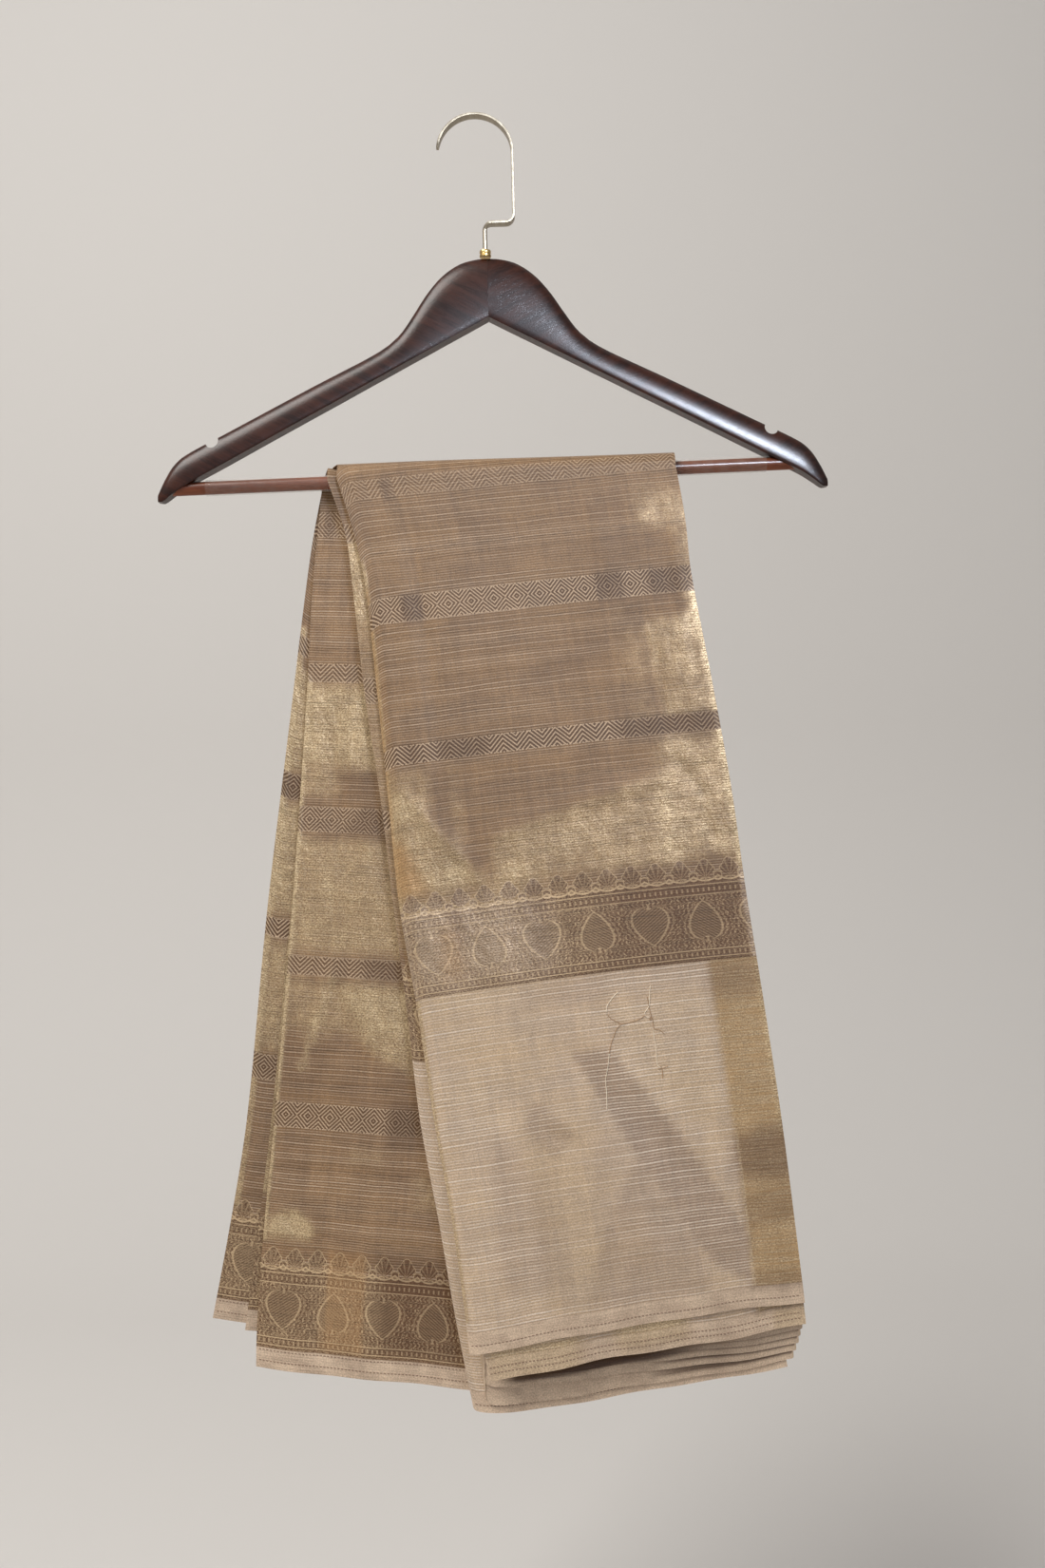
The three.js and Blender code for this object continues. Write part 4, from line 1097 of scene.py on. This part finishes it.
# bands: kind, middle along the pattern from the front hem, and how strongly they show
outerBands = [("chevron", 387, 0.85), ("diamond", 482, 0.85), ("chevron", 562, 0.42), ("diamond", 640, 0.8),
              ("chevron", 712, 0.8), ("diamond", 805, 0.85), ("chevron", 900, 0.85), ("diamond", 994, 0.85)]
innerBands = [("chevron", 387, 0.8), ("diamond", 472, 0.6), ("chevron", 575, 0.6), ("diamond", 655, 0.6),
              ("chevron", 753, 0.65), ("diamond", 850, 0.7), ("chevron", 947, 0.7), ("diamond", 1046, 0.75)]
secondBands = [("chevron", 400, 0.7), ("diamond", 496, 0.7)]

stretches = {
    "outer": {
        "at": pack["outerAt"], "over": 1, "curled": True, "bent": 5, "creases": outerCreases, "ripple": 0.7,
        "total": 1165, "patternLeft": 571, "patternRight": 557.5, "light": outerLight,
        "front": {"edges": outerFront, "left": 568.5, "right": 547.5, "sag": -3.8, "sagTo": 1.2, "share": 1},
        "back": {"edges": outerBack, "left": 553.5, "right": 594, "share": 1},
    },
    "second": {
        "at": pack["secondAt"], "over": 1, "creases": outerCreases, "creased": 0.9, "ripple": 0.9,
        "total": 1180,
        "patternLeft": 588, "patternRight": 572, "light": secondLight,
        "front": {"edges": outerFront, "leftIn": 9.5, "rightIn": 0.6, "left": 585, "right": 561.5,
                  "share": 0.93},
        "back": {"edges": secondBack, "left": 561, "right": 599, "share": 0.93},
    },
    "inner": {
        "at": pack["innerAt"], "over": 0, "flare": 3.4, "creases": innerCreases, "ripple": 0.6,
        "total": innerEnd,
        "patternLeft": 610, "patternRight": 600, "light": innerLight,
        "front": {"edges": innerFront, "left": 610.5, "right": 592, "sag": 5.6, "sagTo": 0.45, "share": 0.05},
        "back": {"edges": innerBack, "left": 584, "right": 616, "share": 0.4},
    },
}


def pathRows(step, bend):
    hemRows = [1, 0.9985, 0.996, 0.992, 0.985, 0.976]
    count = round(0.976 * 570 / step)
    front = hemRows + evenly(0.976, 0, count)[1:]
    return [-share for share in front] + evenly(0, 1, bend)[1:-1] + [1 + share for share in reversed(front)]


def acrossColumns(step):
    edge = [0, 0.003, 0.008, 0.015, 0.024, 0.034]
    return edge + evenly(0.045, 0.955, round(202 / step)) + [1 - share for share in reversed(edge)]


def sheetMesh(name, rows, flatPlaces, lights):
    # rows of points make one sheet; every point also gets its place on the flat cloth and its light
    wide = len(rows[0])
    mesh = bpy.data.meshes.new(name)
    points = [point * mm for row in rows for point in row]
    faces = [(r * wide + c, r * wide + c + 1, (r + 1) * wide + c + 1, (r + 1) * wide + c)
             for r in range(len(rows) - 1) for c in range(wide - 1)]
    mesh.from_pydata(points, [], faces)
    uv = mesh.uv_layers.new(name="flatCloth")
    corners = [0] * len(mesh.loops)
    mesh.loops.foreach_get("vertex_index", corners)
    uv.data.foreach_set("uv", [value for corner in corners for value in flatPlaces[corner]])
    light = mesh.color_attributes.new("light", "FLOAT_COLOR", "POINT")
    light.data.foreach_set("color", [value for four in lights for value in four])
    piece = bpy.data.objects.new(name, mesh)
    sc.collection.objects.link(piece)
    return piece


def thicken(piece, rows, wide, body, hem):
    # cloth thickness, doubled where the hem is turned
    group = piece.vertex_groups.new(name="turnedHem")
    for n, path in enumerate(rows):
        share = -path if path <= 0 else max(0, path - 1)
        group.add(range(n * wide, (n + 1) * wide), mix(body / hem, 1, smooth(share, 0.972, 0.977)), "REPLACE")
    wall = piece.modifiers.new("wall", "SOLIDIFY")
    wall.thickness, wall.offset, wall.vertex_group = hem * mm, 0, "turnedHem"
    wall.use_even_offset, wall.use_rim = False, True
    pickAlone(piece)
    bpy.ops.object.modifier_apply(modifier="wall")


def lightAt(zones, u, along):
    goldSheen, shade, warm = (shadeOf(zones[key], u, along) for key in ("goldSheen", "shade", "warm"))
    return (goldSheen, shade, warm, mix(clearBase, 1, shadeOf(zones["clear"], u, along)))


def stretchPiece(name, stretch, step, body, hem):
    paths, columns = pathRows(step, 26), acrossColumns(step)
    rows = [[clothPlace(stretch, path, u) for u in columns] for path in paths]
    flat, lights = [], []
    for path in paths:
        for u in columns:
            along = patternPlace(stretch, path, u)
            flat.append((u * pack["wide"] * mm, along * mm))
            lights.append(lightAt(stretch["light"], u, along))
    piece = sheetMesh(name, rows, flat, lights)
    thicken(piece, paths, len(columns), body, hem)
    return piece


# hidden layers: place in the stack, share of the spread in front and behind, insets and lengths there
hairpins = [
    (0.92, 0.42, 0.80, (9, 3.5, 578, 565.8), (6, 6, 565, 596)),
    (0.74, 0.35, 0.73, (8.5, 5, 580.5, 570.5), (5.5, 6.5, 568, 600)),
    (0.56, 0.28, 0.66, (8, 6.6, 584, 575.5), (5, 7.2, 572, 603)),
    (0.36, 0.2, 0.59, (7, 8.6, 592, 580.5), (4.5, 8, 576, 606)),
    (0.14, 0.12, 0.52, (6, 10.6, 605, 586), (4, 9, 580, 610)),
]


def hiddenLayers():
    # each hairpin is two layers, a little to either side of its place
    layers = []
    for place, frontShare, backShare, front, back in hairpins:
        for near in (1, -1):
            layers.append({
                "at": pack["hiddenAt"], "over": place + 0.04 * near, "creases": (), "ripple": 0.8,
                "wobble": 0.25,
                "total": 1180, "patternLeft": front[2], "patternRight": front[3] + 10,
                "front": {"edges": outerFront, "topIn": 2, "leftIn": front[0], "rightIn": front[1],
                          "left": front[2] + near, "right": front[3] + near, "sag": 4, "sagTo": 0.55,
                          "share": frontShare + 0.012 * near},
                "back": {"edges": innerBack, "topIn": 10, "leftIn": back[0], "rightIn": back[1],
                         "left": back[2] + near, "right": back[3] + near, "share": backShare + 0.01 * near},
            })
    return layers


def hiddenLight(layer, path, u, along):
    # painted shade: the hollow below the second hem is painted dark, to the right so is each leaf under the
    # one before it, and every hidden layer a little above its hem
    leaf, over = layer["front"], stretches["second"]["front"]
    below = mix(leaf["left"], leaf["right"], u) - along - mix(over["left"], over["right"], u)
    hollow = (1 - smooth(below, 4.5, 9.5)) * smooth(u, 0.02, 0.12) * (1 - 0.7 * smooth(u, 0.5, 0.8))
    hollow = max(hollow, 0.8 * smooth(along, 1.2, 5) * smooth(u, 0.4, 0.7))
    return (0.1, max(0.25 * (along > weave["hemLine"]), hollow * (path <= 0)), 0, 0.6)


def hiddenPiece():
    layers = hiddenLayers()
    paths = pathRows(10, 14)
    columns = [0, 0.02, 0.05] + evenly(0.1, 0.9, 18) + [0.95, 0.98, 1]
    rows, flat, lights = [], [], []
    for path in paths:
        row = []
        for n, layer in enumerate(layers):
            order = columns if n % 2 == 0 else columns[::-1]
            run = [clothPlace(layer, path, u) for u in order]
            marks = [(u, patternPlace(layer, path, u)) for u in order]
            if n:  # a soft fold joins this layer to the one before
                start, end = row[-1], run[0]
                outward = 1 if n % 2 else -1
                middle, reach = (start + end) / 2, (start - end).length / 2
                for turn in (45, 90, 135):
                    lean = (start - middle) * math.cos(math.radians(turn))
                    bulge = Vector((outward * min(reach, 1.2) * math.sin(math.radians(turn)), 0, 0))
                    row.append(middle + lean + bulge)
                    flat.append((marks[0][0] * pack["wide"] * mm, marks[0][1] * mm))
                    # the soft folds get painted sheen
                    lights.append((0.5, 0, 0, 0.4))
            row += run
            for u, along in marks:
                flat.append((u * pack["wide"] * mm, along * mm))
                lights.append(hiddenLight(layer, path, u, along))
        rows.append(row)
    piece = sheetMesh("foldedLayers", rows, flat, lights)
    thicken(piece, paths, len(rows[0]), 0.12, 0.5)
    return piece


stitch = {"pitch": 2.5, "long": 1.5, "wide": 0.5, "high": 0.3}
stitchSides = [(3, 2, 1, 0), (4, 5, 6, 7), (0, 1, 5, 4), (1, 2, 6, 5), (2, 3, 7, 6), (3, 0, 4, 7)]


def threadMaterial(name, low, high):
    material, b, skin = newMaterial(name)
    twist = b.grain(b.node("ShaderNodeTexCoord").outputs["Object"], 2600, 2)
    b.feed(skin["Base Color"], b.blend(b.between(twist, 0.35, 0.65), low, high))
    skin["Roughness"].default_value = 0.6
    return material


def stitchRow(name, stretch, rowsUp, front, faces, material):
    # short raised stitches, each a small bevelled bar, at the given heights above the hem
    points, polygons = [], []
    half = stretch["front"] if front else stretch["back"]
    for up in rowsUp:
        hang = hangLength(half, 0.5)
        share = 1 - up / hang
        path = -share if front else 1 + share
        above = -share * 0.996 if front else 1 + share * 0.996
        count = int(pack["wide"] * 0.985 / stitch["pitch"])
        for n in range(count):
            u = 0.012 + n * stitch["pitch"] / pack["wide"]
            here = clothPlace(stretch, path, u)
            along = (clothPlace(stretch, path, u + 0.005) - here).normalized()
            upward = (clothPlace(stretch, above, u) - here).normalized()
            normal = along.cross(upward).normalized()
            for face in faces:
                away = normal * (1 if normal.y < 0 else -1) * face
                base = here + away * 0.5
                start = len(points)
                for level, grow in ((0, 1.0), (stitch["high"], 0.55)):
                    for a, c in ((-1, -1), (1, -1), (1, 1), (-1, 1)):
                        points.append((base + away * level + along * a * stitch["long"] / 2 * grow
                                       + upward * c * stitch["wide"] / 2 * grow) * mm)
                polygons += [tuple(start + k for k in side) for side in stitchSides]
    mesh = bpy.data.meshes.new(name)
    mesh.from_pydata(points, [], polygons)
    piece = bpy.data.objects.new(name, mesh)
    sc.collection.objects.link(piece)
    mesh.materials.append(material)
    pickAlone(piece)
    bpy.ops.object.mode_set(mode="EDIT")
    bpy.ops.mesh.select_all(action="SELECT")
    bpy.ops.mesh.normals_make_consistent(inside=False)
    bpy.ops.object.mode_set(mode="OBJECT")
    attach(piece, "root")
    return piece


snagRadius, snagOut = 0.2, 0.42
# snagged threads on the pale end: share across, millimetres along from the front hem, and the dye
snags = [
    ("brown", [(0.545, 201.5), (0.552, 198.8), (0.566, 196.7), (0.58, 194.6), (0.608, 195.1), (0.63, 196.0),
               (0.648, 197.9), (0.655, 198.0)]),
    ("pale", [(0.585, 215.6), (0.572, 213.6), (0.559, 210.9), (0.545, 207.0), (0.543, 203.8)]),
    ("brown", [(0.58, 194.6), (0.564, 192.1), (0.553, 187.7), (0.541, 183.0), (0.531, 176.7)]),
    ("pale", [(0.531, 176.7), (0.522, 168.4), (0.51, 160.2), (0.508, 154.0), (0.506, 149.4), (0.501, 141.0)]),
    ("pale", [(0.68, 217.3), (0.675, 213.1), (0.668, 205.0), (0.661, 202.4), (0.651, 199.7), (0.655, 197.3),
              (0.663, 196.4)]),
    ("brown", [(0.666, 210.2), (0.666, 204.0), (0.668, 198.5), (0.667, 195.4), (0.662, 195.0), (0.665, 196.6),
               (0.671, 195.6), (0.67, 191.4), (0.672, 188.6), (0.685, 187.9), (0.697, 185.2)]),
    ("pale", [(0.667, 189.2), (0.667, 182.1), (0.667, 174.3), (0.664, 165.8), (0.672, 163.2)]),
    ("brown", [(0.664, 162.4), (0.68, 162.9), (0.694, 163.5)]),
    ("brown", [(0.674, 164.4), (0.676, 160.5), (0.674, 156.0)]),
]


def snagPiece(n, marks, material):
    stretch = stretches["outer"]
    table = [(k, *mark) for k, mark in enumerate(marks)]
    line = []
    for step in evenly(0, len(marks) - 1, 3 * (len(marks) - 1)):
        u, along = read(table, 1, step), read(table, 2, step)
        atBar = mix(stretch["patternLeft"], stretch["patternRight"], u)
        line.append(clothPlace(stretch, along / atBar - 1, u) + Vector((0, -snagOut, 0)))
    rings = []
    for k, here in enumerate(line):
        along = (line[min(k + 1, len(line) - 1)] - line[max(k - 1, 0)]).normalized()
        beside = along.cross(Vector((0, 1, 0))).normalized()
        over = along.cross(beside)
        turns = [turn * math.tau / 6 for turn in range(6)]
        rings.append([here + (beside * math.cos(turn) + over * math.sin(turn)) * snagRadius
                      for turn in turns])
    piece = loftPiece("snag%d" % n, rings)
    finishPiece(piece, material, "tissue_cloth", angle=60)
    return piece


def makeCloth():
    outer = stretchPiece("outerStretch", stretches["outer"], 3.6, 0.45, 1.0)
    print("outer stretch made")
    second = stretchPiece("secondStretch", stretches["second"], 5, 0.45, 1.0)
    inner = stretchPiece("innerStretch", stretches["inner"], 4.4, 0.45, 1.0)
    hidden = hiddenPiece()
    print("inner layers made")
    outerCloth = tissueMaterial("outerTissue", outerBands, stretches["outer"]["total"])
    # the inner stretch is painted lighter, for the shade it hangs in
    innerCloth = tissueMaterial("innerTissue", innerBands, innerEnd, 1.08)
    secondCloth = tissueMaterial("secondTissue", secondBands, stretches["second"]["total"])
    for piece, material, node in ((outer, outerCloth, "stretch_outer"),
                                  (second, secondCloth, "stretch_second"),
                                  (inner, innerCloth, "stretch_inner"),
                                  (hidden, secondCloth, "stretch_hidden")):
        finishPiece(piece, material, "tissue_cloth", node, angle=60)
    thread = threadMaterial("sewingThread", paint(108, 82, 66), paint(140, 114, 94))
    fibres = {"brown": threadMaterial("brownThread", paint(150, 116, 80), paint(172, 138, 100)),
              "pale": threadMaterial("paleThread", paint(232, 212, 182), paint(250, 242, 226))}
    loose = [snagPiece(n, marks, fibres[kind]) for n, (kind, marks) in enumerate(snags)]
    outerSewn = [stitchRow("outerFrontStitches", stretches["outer"], (5.2,), True, (1,), thread),
                 stitchRow("outerBackStitches", stretches["outer"], (5.2, 12.6), False, (1, -1), thread)]
    secondSewn = [stitchRow("secondFrontStitches", stretches["second"], (4.4, 8.0), True, (1,), thread)]
    innerSewn = [stitchRow("innerFrontStitches", stretches["inner"], (4.6,), True, (1,), thread),
                 stitchRow("innerBackStitches", stretches["inner"], (5.2, 12.6), False, (1, -1), thread)]
    print("hems sewn")


makeCamera()
makeStudio()
print("studio ready")
makeHanger()
print("hanger made")
makeCloth()
